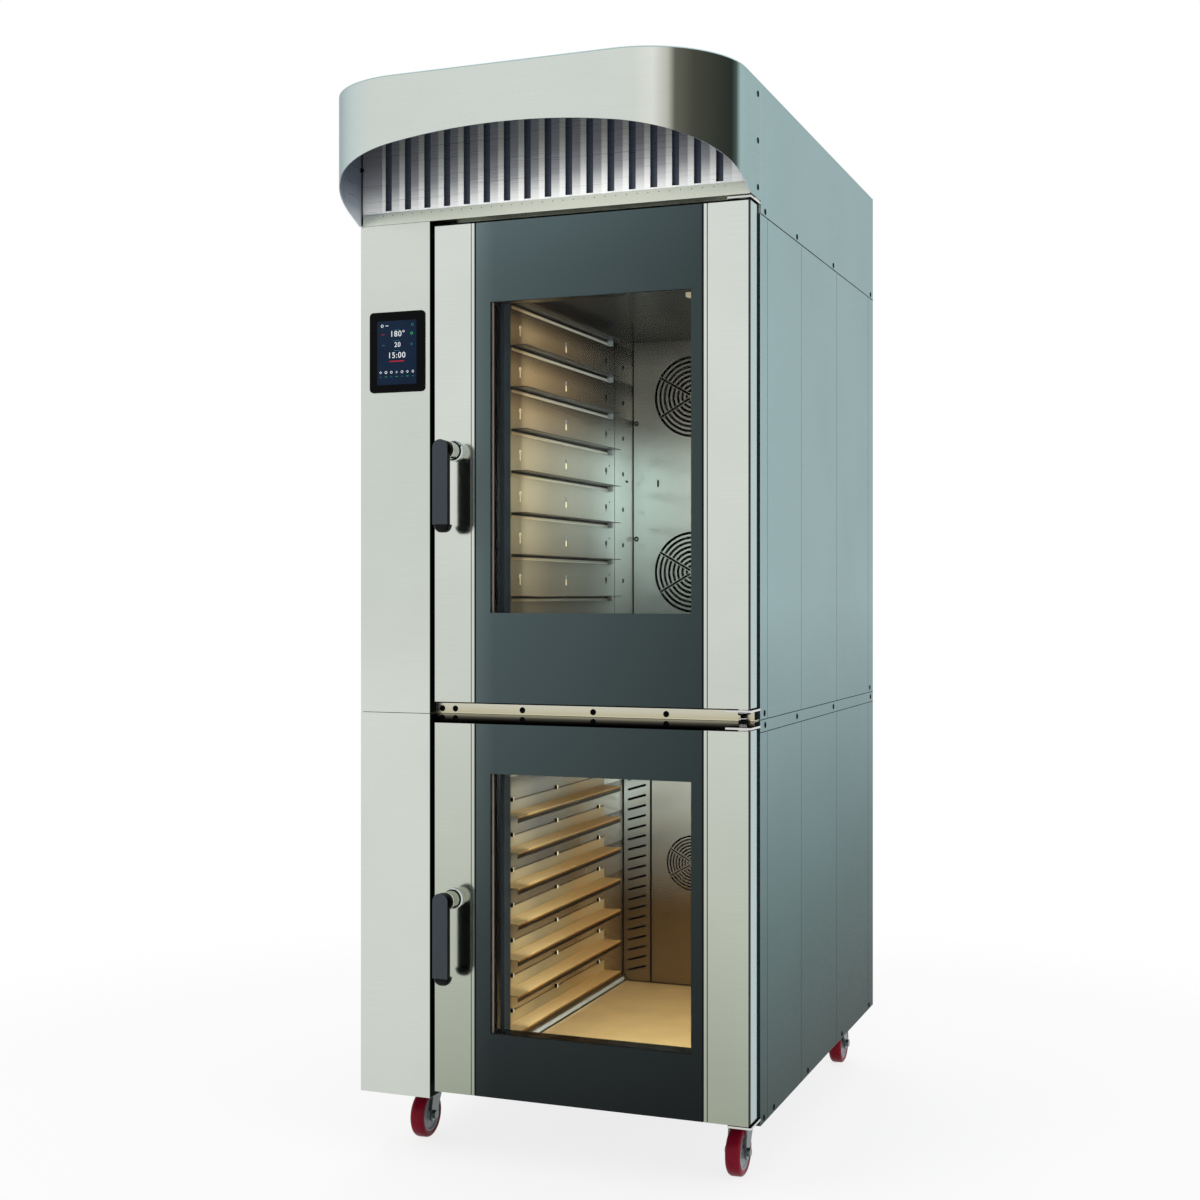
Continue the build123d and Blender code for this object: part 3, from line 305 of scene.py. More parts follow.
@dataclass(frozen=True)
class BrushedSteel(Finish):
    """Stainless sheet, belt ground along one direction: fine streaks and a broad, soft unevenness."""

    metallic: float = 1.0
    roughness: float = 0.3
    streak: Point = (70.0, 70.0, 1.3)
    contrast: float = 0.05
    cloud: float = 0.03
    cloud_mm: float = 260.0
    # Colours by height: painted light and shade, such as a floor's reflection low down.
    painted_light_by_height: Stops = ()
    # Where along X the sheet darkens with painted shade, and how dark it gets.
    gap: Pair | None = None
    gap_level: float = 0.03
    rim: str = WHITE

    def tone(self, tree: Tree) -> Colour:
        """Gives the colour by height above the floor, with the painted light and shade of its ramp."""
        return self.ramp(tree, "Z", self.painted_light_by_height) if self.painted_light_by_height else linear(self.colour)

    def gap_shade(self, tree: Tree) -> Socket:
        """Gives 1 where the sheet stands in the open, and near 0 in the gap at its right, as painted shade.

        Args:
            tree: The material's nodes.

        Returns:
            The share of light over the surface.
        """
        start, end = self.gap
        inputs = {"Value": self.along(tree, "X"), "From Min": start * MM, "From Max": end * MM}
        inputs |= {"To Min": 1.0, "To Max": self.gap_level}
        return add(tree, "MapRange", inputs).outputs[0]

    def metal(self, tree: Tree) -> float | Socket:
        """Gives how metallic the sheet looks."""
        return self.metallic

    def shade(self, tree: Tree) -> Socket:
        """Builds the metal with its streaks in colour, roughness and relief.

        Args:
            tree: The material's nodes.

        Returns:
            The shader's output.
        """
        streaks = self.grain(tree, self.streak, 6.0)
        clouds = self.grain(tree, (self.cloud_mm,) * 3, 2.0)
        colour = self.mottled(tree, self.tone(tree), streaks, self.contrast)
        colour = self.mottled(tree, colour, clouds, self.cloud)
        if self.gap:
            inputs = {0: colour, "Scale": self.gap_shade(tree)}
            colour = add(tree, "VectorMath", inputs, operation="SCALE").outputs[0]
        inputs = {"Height": streaks, "Strength": 0.4, "Distance": self.relief_mm * MM}
        bump = add(tree, "Bump", inputs)
        inputs = {
            "Base Color": colour,
            "Metallic": self.metal(tree),
            "Roughness": self.uneven(tree, streaks, self.roughness, ROUGH_SPREAD),
            "Specular Tint": linear(self.rim),
            "Normal": bump.outputs["Normal"],
        }
        return add(tree, "BsdfPrincipled", inputs).outputs["BSDF"]


@dataclass(frozen=True)
class HoodSteel(BrushedSteel):
    """Brushed sheet rolled round two corners, with a painted reflection that gives each bend a dark core, and
    painted shade inside.
    """

    centre_y: float = -350.0
    inner_metal: float = 0.15
    # Painted reflection by the angle that the sheet faces, in degrees: pale ahead, dark in the bend, teal at
    # the side.
    turns: Stops = (
        (-90, "#AFCAD2"), (-60, "#BAD2D6"), (-40, "#C4D4D4"), (-12, "#CCD3CD"), (12, "#CED4CD"),
        (22, "#D9DCD5"), (30, "#B5B6AB"), (34, "#5F6055"), (45, "#44463D"), (60, "#343832"),
        (72, "#2A302C"), (77, "#4A5853"), (82, "#A6C1C1"), (90, "#B0CCCD"),
    )
    # Painted shade inside the skirt, darker towards the roof.
    inside: Stops = ((1971, "#D5DADF"), (2010, "#8D949E"), (2060, "#5E6570"), (2190, "#474E58"))

    def tone(self, tree: Tree) -> Colour:
        """Gives a painted reflection by the way the sheet faces, and slate with painted shade on its inner
        side.

        Args:
            tree: The material's nodes.

        Returns:
            The colour over the surface.
        """
        inputs = {0: self.facing(tree, "Y"), 1: -1.0}
        ahead = add(tree, "Math", inputs, operation="MULTIPLY")
        inputs = {0: self.facing(tree, "X"), 1: ahead.outputs[0]}
        turn = add(tree, "Math", inputs, operation="ARCTAN2")
        inputs = {"Value": turn.outputs[0], "From Min": -math.pi / 2, "From Max": math.pi / 2}
        level = add(tree, "MapRange", inputs)
        stops = tuple(((angle + 90) / 180, colour) for angle, colour in self.turns)
        outside = add(tree, "ValToRGB", {"Fac": level.outputs[0]}, stops=stops).outputs["Color"]
        return self.either(tree, self.outward(tree), 0.0, self.ramp(tree, "Z", self.inside), outside)

    def outward(self, tree: Tree) -> Socket:
        """Gives a value above 0 on the outer side of the sheet, and below 0 on its inner side.

        Args:
            tree: The material's nodes.

        Returns:
            The value over the surface.
        """
        place = add(tree, "TexCoord")
        inputs = {0: place.outputs["Object"], 1: (0.0, self.centre_y * MM, 0.0)}
        middle = add(tree, "VectorMath", inputs, operation="SUBTRACT")
        inputs = {0: middle.outputs[0], 1: (1.0, 1.0, 0.0)}
        flat = add(tree, "VectorMath", inputs, operation="MULTIPLY")
        inputs = {0: flat.outputs[0], 1: place.outputs["Normal"]}
        return add(tree, "VectorMath", inputs, operation="DOT_PRODUCT").outputs["Value"]

    def metal(self, tree: Tree) -> float | Socket:
        """Gives a full metal outside, and a duller one inside.

        Args:
            tree: The material's nodes.

        Returns:
            How metallic the sheet is over the surface.
        """
        inputs = {0: self.outward(tree), 1: 0.0}
        outside = add(tree, "Math", inputs, operation="GREATER_THAN")
        inputs = {"Value": outside.outputs[0], "To Min": self.inner_metal, "To Max": 1.0}
        return add(tree, "MapRange", inputs).outputs[0]


@dataclass(frozen=True)
class DoorSteel(BrushedSteel):
    """Brushed stile sheet, with a painted teal reflection on the door's edge and painted shade on the bars
    behind the glass.
    """

    # Painted teal reflection on the edge, and painted shade on the bars between the two places below.
    edge: str = "#9DB4B3"
    edge_facing: float = 0.7
    bars: str = "#22272A"
    bars_from: float = -157.0
    bars_to: float = 332.0

    def tone(self, tree: Tree) -> Colour:
        """Gives the height's colour on the front, a painted reflection on the edges and painted shade on the
        bars.

        Args:
            tree: The material's nodes.

        Returns:
            The colour over the surface.
        """
        height = super().tone(tree)
        colour = self.either(tree, self.facing(tree, "X"), self.edge_facing, height, linear(self.edge))
        across = self.along(tree, "X")
        barred = self.either(tree, across, self.bars_from * MM, colour, linear(self.bars))
        return self.either(tree, across, self.bars_to * MM, barred, colour)


@dataclass(frozen=True)
class PlateSteel(BrushedSteel):
    """Polished plate whose level faces carry a painted dark reflection of the gap that they lie in."""

    level: str = "#0D0F0F"
    level_facing: float = 0.6

    def tone(self, tree: Tree) -> Colour:
        """Gives the edge's colour, and a painted dark reflection on the faces that lie level."""
        steep = add(tree, "Math", {0: self.facing(tree, "Z")}, operation="ABSOLUTE").outputs[0]
        return self.either(tree, steep, self.level_facing, linear(self.colour), linear(self.level))


@dataclass(frozen=True)
class FilterSteel(BrushedSteel):
    """Slotted filter sheet: each strip is painted with a shaded face and a lit face that meet along one line,
    and slate shows behind the slots.
    """

    metallic: float = 0.3
    behind: str = "#4A515F"
    sheet_back: float = -445.0
    margin: float = -380.0
    pitch: float = 45.6
    fold: float = 0.56
    fold_softness: float = 0.04
    slot_centre: float = -364.8
    # Painted highlight on the lit face of each strip, by height.
    bright: Stops = ()

    def tone(self, tree: Tree) -> Colour:
        """Gives the shaded and lit faces of each strip, painted by height, and slate on the channels behind the
        sheet.

        Args:
            tree: The material's nodes.

        Returns:
            The colour over the surface.
        """
        across = self.along(tree, "X")
        inputs = {0: across, 1: self.slot_centre * MM}
        offset = add(tree, "Math", inputs, operation="SUBTRACT").outputs[0]
        inputs = {0: offset, 1: self.pitch * MM}
        strips = add(tree, "Math", inputs, operation="DIVIDE").outputs[0]
        part = add(tree, "Math", {0: strips}, operation="FRACT").outputs[0]
        inputs = {"Value": part}
        inputs |= {"From Min": self.fold - self.fold_softness, "From Max": self.fold + self.fold_softness}
        folded = add(tree, "MapRange", inputs, interpolation_type="SMOOTHSTEP").outputs[0]
        # The dull face is the strip's face in painted shade, darker towards the roof.
        dull = self.ramp(tree, "Z", self.painted_light_by_height)
        inputs = {"Factor": folded, 6: dull, 7: self.ramp(tree, "Z", self.bright)}
        faces = add(tree, "Mix", inputs, data_type="RGBA").outputs[2]
        sheet = self.either(tree, across, self.margin * MM, dull, faces)
        return self.either(tree, self.along(tree, "Y"), self.sheet_back * MM, sheet, linear(self.behind))


@dataclass(frozen=True)
class ChamberSteel(BrushedSteel):
    """Satin stainless lining, with painted light and shade: warm by the lamps at the mouth, cool by the fans,
    dark behind them.
    """

    metallic: float = 0.5
    roughness: float = 0.2
    relief_mm: float = 0.002
    # Painted light by depth, above and below the heights where they meet, and painted shade by height.
    upper: Stops = ()
    lower: Stops = ()
    shade_levels: Stops = ()
    meet: Pair = (1480.0, 1650.0)
    rails: Pair = (1187.0, 89.0)
    under_rail: Stops = ((0, WHITE), (100, WHITE))
    wall_facing: float = 0.6
    level_facing: float = 0.7
    # Painted light and shade on the ceiling and the floor, and painted shade behind the fan wall.
    ceiling: str = "#232526"
    lit_floor_colour: str = "#A58A5E"
    fan_wall: float = 429.0
    behind: str = "#050505"

    def rail_shadow(self, tree: Tree) -> Socket:
        """Gives the shadow that each rail throws on the side wall, by the place between two rails.

        Args:
            tree: The material's nodes.

        Returns:
            The shadow over the surface, white where there is none.
        """
        first, pitch = self.rails
        inputs = {"Value": self.along(tree, "Z"), "From Min": first * MM, "From Max": (first + pitch) * MM}
        rise = add(tree, "MapRange", inputs, clamp=False).outputs[0]
        part = add(tree, "Math", {0: rise}, operation="FRACT").outputs[0]
        stops = tuple((percent / 100, colour) for percent, colour in self.under_rail)
        shadow = add(tree, "ValToRGB", {"Fac": part}, stops=stops).outputs["Color"]
        beside = add(tree, "Math", {0: self.facing(tree, "X")}, operation="ABSOLUTE").outputs[0]
        return self.either(tree, beside, self.wall_facing, linear(WHITE), shadow)

    def tone(self, tree: Tree) -> Colour:
        """Gives the painted light and shade by depth and height, with the ceiling and the floor by the way they
        face.

        Args:
            tree: The material's nodes.

        Returns:
            The colour over the surface.
        """
        start, end = self.meet
        inputs = {"Value": self.along(tree, "Z"), "From Min": start * MM, "From Max": end * MM}
        level = add(tree, "MapRange", inputs, interpolation_type="SMOOTHSTEP").outputs[0]
        inputs = {0: self.ramp(tree, "Y", self.upper), 1: self.rail_shadow(tree)}
        upper = add(tree, "VectorMath", inputs, operation="MULTIPLY").outputs[0]
        inputs = {"Factor": level, 6: self.ramp(tree, "Y", self.lower), 7: upper}
        walls = add(tree, "Mix", inputs, data_type="RGBA").outputs[2]
        inputs = {0: walls, 1: self.ramp(tree, "Z", self.shade_levels)}
        colour = add(tree, "VectorMath", inputs, operation="MULTIPLY").outputs[0]
        upward = self.facing(tree, "Z")
        colour = self.either(tree, upward, -self.level_facing, linear(self.ceiling), colour)
        colour = self.either(tree, upward, self.level_facing, colour, linear(self.lit_floor_colour))
        return self.either(tree, self.along(tree, "Y"), self.fan_wall * MM, colour, linear(self.behind))


@dataclass(frozen=True)
class RailSteel(BrushedSteel):
    """Folded rail sheet: each rail's upright leg has a band of painted shade and a lit one below its top, and
    its underside is painted dark.
    """

    metallic: float = 0.45
    roughness: float = 0.26
    first: float = 1187.0
    pitch: float = 89.0
    lead: float = 30.0
    depths: Stops = ()
    top: Stops = ()
    leg: Stops = ()
    # Painted shade on the faces that look down.
    under: str = "#101113"
    level_facing: float = 0.6

    def tone(self, tree: Tree) -> Colour:
        """Gives the painted light and shade by depth, by the place on the leg and by the way the sheet faces.

        Args:
            tree: The material's nodes.

        Returns:
            The colour over the surface.
        """
        inputs = {0: (self.first + self.lead) * MM, 1: self.along(tree, "Z")}
        drop = add(tree, "Math", inputs, operation="SUBTRACT").outputs[0]
        turns = add(tree, "Math", {0: drop, 1: self.pitch * MM}, operation="DIVIDE").outputs[0]
        part = add(tree, "Math", {0: turns}, operation="FRACT").outputs[0]
        stops = tuple(((below + self.lead) / self.pitch, colour) for below, colour in self.leg)
        bands = add(tree, "ValToRGB", {"Fac": part}, stops=stops).outputs["Color"]
        inputs = {0: self.ramp(tree, "Y", self.depths), 1: bands}
        leg = add(tree, "VectorMath", inputs, operation="MULTIPLY").outputs[0]
        if self.painted_light_by_height:
            inputs = {0: leg, 1: self.ramp(tree, "Z", self.painted_light_by_height)}
            leg = add(tree, "VectorMath", inputs, operation="MULTIPLY").outputs[0]
        upward = self.facing(tree, "Z")
        colour = self.either(tree, upward, -self.level_facing, linear(self.under), leg)
        return self.either(tree, upward, self.level_facing, colour, self.ramp(tree, "Y", self.top))


@dataclass(frozen=True)
class DoorGlass(Finish):
    """Toughened float glass with ink fired on round its window: clear inside it, with a faint mirror."""

    roughness: float = 0.0325
    smudge: float = 0.54
    smudge_mm: float = 90.0
    specular: float = 0.12
    opening: tuple[float, float, float, float] = (-124.0, 309.0, 1152.0, 1792.0)
    front_y: float = -456.0
    mirror: float = 0.006
    # Painted reflection across the ink: lighter at the left, darker at the right; painted shade darkens it low
    # down.
    ink_left: str = "#5C6A6B"
    ink_right: str = "#333F40"
    ink_places: Point = (-160.0, -115.0, 335.0)
    ink_shade_by_height: Stops = ((155, "#6A6A6A"), (300, "#8E8E8E"), (900, "#E6E6E6"), (1200, WHITE))

    def inked(self, tree: Tree) -> Socket:
        """Gives 1 on the ink, and 0 on the window.

        Args:
            tree: The material's nodes.

        Returns:
            The share of ink over the surface.
        """
        left, right, bottom, top = self.opening
        centre = ((left + right) / 2 * MM, 0.0, (bottom + top) / 2 * MM)
        place = add(tree, "TexCoord").outputs["Object"]
        inputs = {0: place, 1: centre}
        offset = add(tree, "VectorMath", inputs, operation="SUBTRACT").outputs[0]
        size = add(tree, "VectorMath", {0: offset}, operation="ABSOLUTE").outputs[0]
        away = add(tree, "SeparateXYZ", {0: size}).outputs
        beyond = []
        for axis, half in (("X", (right - left) / 2), ("Z", (top - bottom) / 2)):
            inputs = {0: away[axis], 1: half * MM}
            beyond.append(add(tree, "Math", inputs, operation="GREATER_THAN").outputs[0])
        inputs = {0: beyond[0], 1: beyond[1]}
        return add(tree, "Math", inputs, operation="MAXIMUM").outputs[0]

    def shade(self, tree: Tree) -> Socket:
        """Builds one glossy shader, whole on the ink and faint on the window, over clear glass.

        Args:
            tree: The material's nodes.

        Returns:
            The shader's output.
        """
        ink = self.inked(tree)
        # The ink's colour carries the painted reflection across the door and the painted shade by height.
        across = self.ramp(tree, "X", tuple(zip(self.ink_places, (self.ink_left, self.colour, self.ink_right))))
        inputs = {0: across, 1: self.ramp(tree, "Z", self.ink_shade_by_height)}
        painted = add(tree, "VectorMath", inputs, operation="MULTIPLY").outputs[0]
        inputs = {"Factor": ink, 6: linear(WHITE), 7: painted}
        colour = add(tree, "Mix", inputs, data_type="RGBA").outputs[2]
        bare = add(tree, "Math", {0: 1.0, 1: ink}, operation="SUBTRACT").outputs[0]
        noise = self.grain(tree, (self.smudge_mm,) * 3, 3.0)
        inputs = {
            "Base Color": colour,
            "Metallic": bare,
            "Roughness": self.uneven(tree, noise, self.roughness, self.smudge),
            "Specular IOR Level": self.specular,
        }
        gloss = add(tree, "BsdfPrincipled", inputs)
        inputs = {"Value": ink, "To Min": self.mirror, "To Max": 1.0}
        share = add(tree, "MapRange", inputs).outputs[0]
        inputs = {0: self.along(tree, "Y"), 1: self.front_y * MM}
        front = add(tree, "Math", inputs, operation="LESS_THAN").outputs[0]
        share = add(tree, "Math", {0: share, 1: front}, operation="MULTIPLY").outputs[0]
        clear = add(tree, "BsdfTransparent", {"Color": linear("#FDFEFD")})
        inputs = {0: share, 1: clear.outputs[0], 2: gloss.outputs[0]}
        return add(tree, "MixShader", inputs).outputs[0]


@dataclass(frozen=True)
class Glow(Finish):
    """A lit surface, such as a display's digits or a lamp's frosted cover."""

    strength: float = 1.0

    def shade(self, tree: Tree) -> Socket:
        """Builds an emitter with a slight unevenness.

        Args:
            tree: The material's nodes.

        Returns:
            The shader's output.
        """
        noise = self.grain(tree, (self.mottle_mm,) * 3)
        colour = self.mottled(tree, linear(self.colour), noise, self.mottle)
        return add(tree, "Emission", {"Color": colour, "Strength": self.strength}).outputs[0]


# Stainless 304, ground along X: a soft pale sheen, with painted shade that makes it darker towards the
# floor. The grit's lines are about 0.1 mm apart, and are drawn 1.6 mm apart so that they show.
FRONT_STEEL = DoorSteel(
    "stainless_steel_brushed_front", "#D3D8D2", roughness=0.13, streak=(90.0, 90.0, 1.6),
    contrast=0.018,
    painted_light_by_height=((130, "#9BA292"), (560, "#B4BAAC"), (930, "#C6CBC2"), (1500, "#CFD4CD"), (1960, "#D2D7D1")),
)
# The same sheet, with painted shade on its side in the gap beside the doors, where little light gets in.
COLUMN_STEEL = BrushedSteel(
    "stainless_steel_brushed_column", "#D3D8D2", roughness=0.22, streak=(90.0, 90.0, 1.6),
    contrast=0.018,
    painted_light_by_height=((130, "#C9CEC6"), (930, "#CFD4CD"), (1450, "#C5CCC4"), (1960, "#CED3CC")),
    gap=(-267.4, -266.4),
)
# Cold rolled stainless with a protective satin finish: its cool teal is a painted reflection, and painted shade
# makes it darker low down.
PANEL_STEEL = BrushedSteel(
    "stainless_steel_satin_panel", TEAL_PAINTED_REFLECTION, roughness=0.34, streak=(40.0, 40.0, 2.0), contrast=0.018,
    cloud=0.025, rim="#BCBCBC",
    painted_light_by_height=(
        (136, "#505F5D"), (495, "#6B8584"), (760, "#89A3A5"), (1177, "#AFCBCD"), (1860, "#AECACC"),
        (2200, "#B0CCCE"),
    ),
)
# Stainless sheet ground round the bend: streaks run level, and the bend has a dark core of painted reflection.
HOOD_STEEL = HoodSteel(
    "stainless_steel_brushed_hood", "#C9D0C9", streak=(90.0, 90.0, 1.6), contrast=0.02, rim="#BCBCBC"
)
# Ledge under the hood, bright where the filter's light falls on it.
LEDGE_STEEL = BrushedSteel("stainless_steel_brushed_ledge", "#D8DDCF", streak=(90.0, 90.0, 1.6), contrast=0.03)
# Stamped filter sheet, with painted light and shade: bright at its foot and dark under the roof.
FILTER_STEEL = FilterSteel(
    "stainless_steel_stamped_filter", "#B0B0A8", streak=(260.0, 260.0, 1.4), contrast=0.03,
    relief_mm=0.004,
    painted_light_by_height=((1994, "#F0F0EE"), (2015, "#D8D8D6"), (2050, "#96969A"), (2100, "#707075"), (2190, "#62626A")),
    bright=((1994, "#F8F8F6"), (2030, "#EDEDEA"), (2070, "#BDBDBA"), (2120, "#94948F"), (2190, "#83837F")),
)
# Satin stainless of the oven, with painted light and shade: straw coloured by the lamps, cool and pale at the
# back.
CHAMBER_STEEL = ChamberSteel(
    "stainless_steel_satin_oven_chamber", "#9DAAA3", streak=(60.0, 60.0, 1.8),
    upper=((-340, "#CFAF82"), (-120, "#A68C6B"), (120, "#716757"), (300, "#454746"), (426, "#8C8B82")),
    under_rail=((0, WHITE), (45, "#F2F2F2"), (78, "#A4A4A4"), (96, "#6E6E6E")),
    lower=((-340, "#C9B590"), (-120, "#A29B8A"), (120, "#A9B1AC"), (300, "#D6E8E8"), (426, "#CCD8D6")),
    shade_levels=((1141, "#B4B4B4"), (1300, "#E8E8E8"), (1420, WHITE), (1760, WHITE), (1829, "#A8A8A8")),
    lit_floor_colour="#6E6048",
)
# The same lining in the proofing chamber, with a painted gold reflection where it mirrors the floor, and
# painted light and shade elsewhere.
PROOFER_STEEL = ChamberSteel(
    "stainless_steel_satin_proofer_chamber", "#ADA88F", streak=(60.0, 60.0, 1.8), metallic=0.45,
    roughness=0.22, meet=(380.0, 700.0),
    upper=(
        (-340, "#B0AB99"), (-120, "#77787A"), (60, "#7B776C"), (110, "#8A7A60"), (180, "#9C988A"),
        (426, "#E6F3F6"),
    ),
    lower=((-340, "#A08A64"), (-60, "#8C7654"), (110, "#7C6240"), (180, "#A88E64"), (426, "#6C5634")),
    rails=(261.0, 76.2),
    under_rail=((0, WHITE), (60, WHITE), (92, "#9A9A9A")),
    shade_levels=((206, WHITE), (380, "#DADADA"), (560, "#B8B8B8"), (740, "#F0F0F0"), (846, WHITE)),
    ceiling="#8C8468", lit_floor_colour="#FFDB9A",
)
# Folded rails, with painted light: the leg catches the lamps, and the underside is painted black as shade.
OVEN_RAIL_STEEL = RailSteel(
    "stainless_steel_folded_rail", "#BDB6A2", streak=(0.8, 240.0, 0.8), contrast=0.015, relief_mm=0.004,
    depths=((-340, "#E0BE88"), (-120, "#DAD2BC"), (120, "#DCE2DC"), (250, "#C8D0CC")),
    top=((-340, "#D9B276"), (60, "#A98C62"), (250, "#7C7668")),
    leg=((0.0, "#C0C0C0"), (1.0, "#101010"), (5.4, "#151515"), (6.6, "#D8D8D8"), (12.0, WHITE), (13.0, WHITE)),
)
# Wide proofer ledges, dulled by steam: their edges carry painted highlights, and the legs take the wall's
# painted light.
PROOFER_RAIL_STEEL = RailSteel(
    "stainless_steel_folded_ledge", "#CDB482", metallic=0.1, roughness=0.45, streak=(40.0, 240.0, 40.0),
    contrast=0.01, relief_mm=0.0, first=261.0, pitch=76.2,
    depths=((-340, "#BCB6A2"), (-120, "#85857F"), (60, "#87826F"), (110, "#92836A"), (300, "#A9A493")),
    painted_light_by_height=((206, "#F4D7A0"), (560, "#FBEBCB"), (740, WHITE)),
    top=((-340, "#F0D8A4"), (-200, "#DDBC84"), (0, "#CCA66C"), (300, "#C49C60")),
    leg=(
        (-25.0, "#202020"), (-23.0, "#E8E8E8"), (-1.5, "#F4F4F4"), (0.0, "#F6E0B0"), (2.5, "#CDAA6E"),
        (4.5, "#70562F"), (7.0, "#2E2416"), (12.0, "#1C1610"),
    ),
    under="#5A4326",
)
# Hot dip galvanised steel: grey, with a faint spangle of 8 mm.
FRAME_STEEL = Finish("steel_galvanised_frame", "#6E7374", 0.45, 1.0, mottle_mm=8.0, mottle=0.12)
# The throats of the chambers, painted dark slate as the shade on the dark side of the lamps.
THROAT_PAINTED_SHADE = Finish("steel_throat_painted_shade", "#2C363D", 0.6, 0.0, mottle_mm=60.0, mottle=0.04, specular=0.08)
# The rim of the inner pane, painted warm as a highlight where it catches the lamps' light.
LIP_STEEL = Finish("aluminium_rim_painted_highlight", "#8F7F76", 0.3, mottle_mm=20.0, specular=0.2)
# Electroplated and buffed: near mirror.
CHROME = Finish("steel_chromed_polished", "#C9CDCC", 0.14, 1.0, mottle_mm=30.0, mottle=0.04, relief_mm=0.005)
# Hinge plate, laser cut and polished: bright edges, and level faces painted black as a reflection of the dark
# gap.
PLATE_STEEL = PlateSteel("stainless_steel_polished_plate", "#CFCFCC", roughness=0.2)
# Turned stainless with a satin sheen and fine lathe rings.
TURNED_STEEL = Finish("stainless_steel_turned", "#BDC0B5", 0.2, 1.0, mottle_mm=2.0, mottle=0.05)
# Heat burnished and oiled: nearly black, with hardly a gleam; also laid in the doors' grooves as painted shade.
SCREW_AND_GROOVE_BLACK = Finish("steel_burnished_screw_and_groove_shade", "#0B0E0E", 0.6, 0.0, mottle_mm=3.0, mottle=0.12, specular=0.02)
# Pressed and zinc plated: pale grey with a soft bloom.
ZINC_STEEL = Finish("steel_zinc_plated_pressed", "#6C7473", 0.32, 1.0, mottle_mm=6.0, mottle=0.12)
# Stainless tube, blued brown by its own heat: dark and uneven along its length.
ELEMENT_STEEL = Finish("steel_heat_blued_tube", "#4A4340", 0.42, 1.0, mottle_mm=15.0, mottle=0.2)
# Impellers, painted dark as the shade behind the fan walls that they are seen in.
FAN_ALUMINIUM = Finish("aluminium_pressed_painted_dark", "#222324", 0.5, 0.6, mottle_mm=4.0, mottle=0.1)
# Hooks and clips on the chamber's wall, painted gold as the glint of the lamps: the lit copy of the clips.
CLIP_PAINTED_LIT = Finish("stainless_steel_clip_lit", "#FFF1CC", 0.4, mottle_mm=4.0, mottle=0.06, specular=0.3)
# The same clips away from the lamps, the copy without painted light: plain grey, with a soft gleam.
CLIP_GREY = Finish("stainless_steel_clip", "#7C8489", 0.35, 0.2, mottle_mm=4.0, mottle=0.08)
# Polished cove along the floor, painted pale and cool as a soft line of light.
COVE_STEEL = Finish(
    "stainless_steel_cove_polished", "#C8D6DC", 0.2, 0.3, mottle_mm=30.0, mottle=0.1, specular=0.4
)
# Turned brass fittings, left bare: warm yellow with a satin gleam.
BRASS = Finish("brass_turned_satin", "#BFA15C", 0.3, 1.0, mottle_mm=5.0, mottle=0.08)
# Sprayed enamel paint on cast motor housings: satin, with a slight orange peel.
MOTOR_PAINT = Finish("steel_sprayed_motor_paint", "#1E2124", 0.42, mottle_mm=3.0, relief_mm=0.05)
# Glass filled nylon, spark eroded mould texture: matte black, drawn with a 1.2 mm grain.
GRIP_NYLON = Finish(
    "nylon_moulded_black", "#030404", 0.4, mottle_mm=1.2, mottle=0.12, relief_mm=0.03, specular=0.12
)
# Soft touch plate on the handle's front: slate grey.
GRIP_PLATE = Finish(
    "nylon_soft_touch_slate", "#3E454A", 0.5, mottle_mm=1.2, mottle=0.05, relief_mm=0.02, specular=0.1
)
# Injection moulded polycarbonate from a polished mould: deep, glossy black.
BEZEL_PLASTIC = Finish(
    "polycarbonate_moulded_gloss_black", "#030405", 0.16, mottle_mm=20.0, relief_mm=0.005, specular=0.06
)
# Lit touch screen under smooth glass: navy, slightly lighter in clouds.
SCREEN_GLASS = Finish(
    "touch_screen_lit_navy", "#14243A", 0.2, mottle_mm=60.0, mottle=0.15, relief_mm=0.001, specular=0.06
)
# Injection moulded nylon: matte, near black, with a fine mould grain.
GLAND_NYLON = Finish("nylon_moulded_gland", "#15171A", 0.5, mottle_mm=1.2, mottle=0.1, relief_mm=0.04)
# Silicone and EPDM, extruded: matte black with a dusty bloom.
SEAL_RUBBER = Finish(
    "silicone_extruded_black", "#0B0C0D", 0.6, mottle_mm=5.0, mottle=0.2, relief_mm=0.05, specular=0.1
)
# Black for seams, joints, sockets and holes, and painted shade in gaps, grooves and under parts: no gleam, next
# to no light.
JOINT_BLACK_AND_PAINTED_SHADE = Finish(
    "black_joints_and_painted_shade", "#020303", 0.7, mottle_mm=5.0, mottle=0.2, relief_mm=0.05, specular=0.06
)
# Cast polyurethane tread: deep red with a soft gloss.
TREAD_RED = Finish(
    "polyurethane_cast_red", "#7C0A22", 0.34, mottle_mm=9.0, mottle=0.12, relief_mm=0.05, specular=0.12
)
# Injection moulded polypropylene: even mid grey with a soft gleam.
HUB_GREY = Finish("polypropylene_moulded_grey", "#868D91", 0.4, mottle_mm=2.0, mottle=0.06)
# Stone wool slab: straw coloured fibres, drawn 6 mm coarse.
WOOL = Finish("stone_wool_slab", "#B8A878", 0.95, mottle_mm=6.0, mottle=0.25, relief_mm=1.5)
# Glass epoxy under green solder mask: blotched by the copper below it.
CIRCUIT_BOARD = Finish(
    "glass_epoxy_soldermask_green", "#12492A", 0.35, mottle_mm=6.0, mottle=0.35, relief_mm=0.1
)
# Ceramic ink, fired onto the glass: even dark slate, slightly glossy.
INK = Finish(
    "ceramic_ink_fired_slate", "#141A1B", 0.4, mottle_mm=40.0, mottle=0.03, relief_mm=0.001, specular=0.1
)
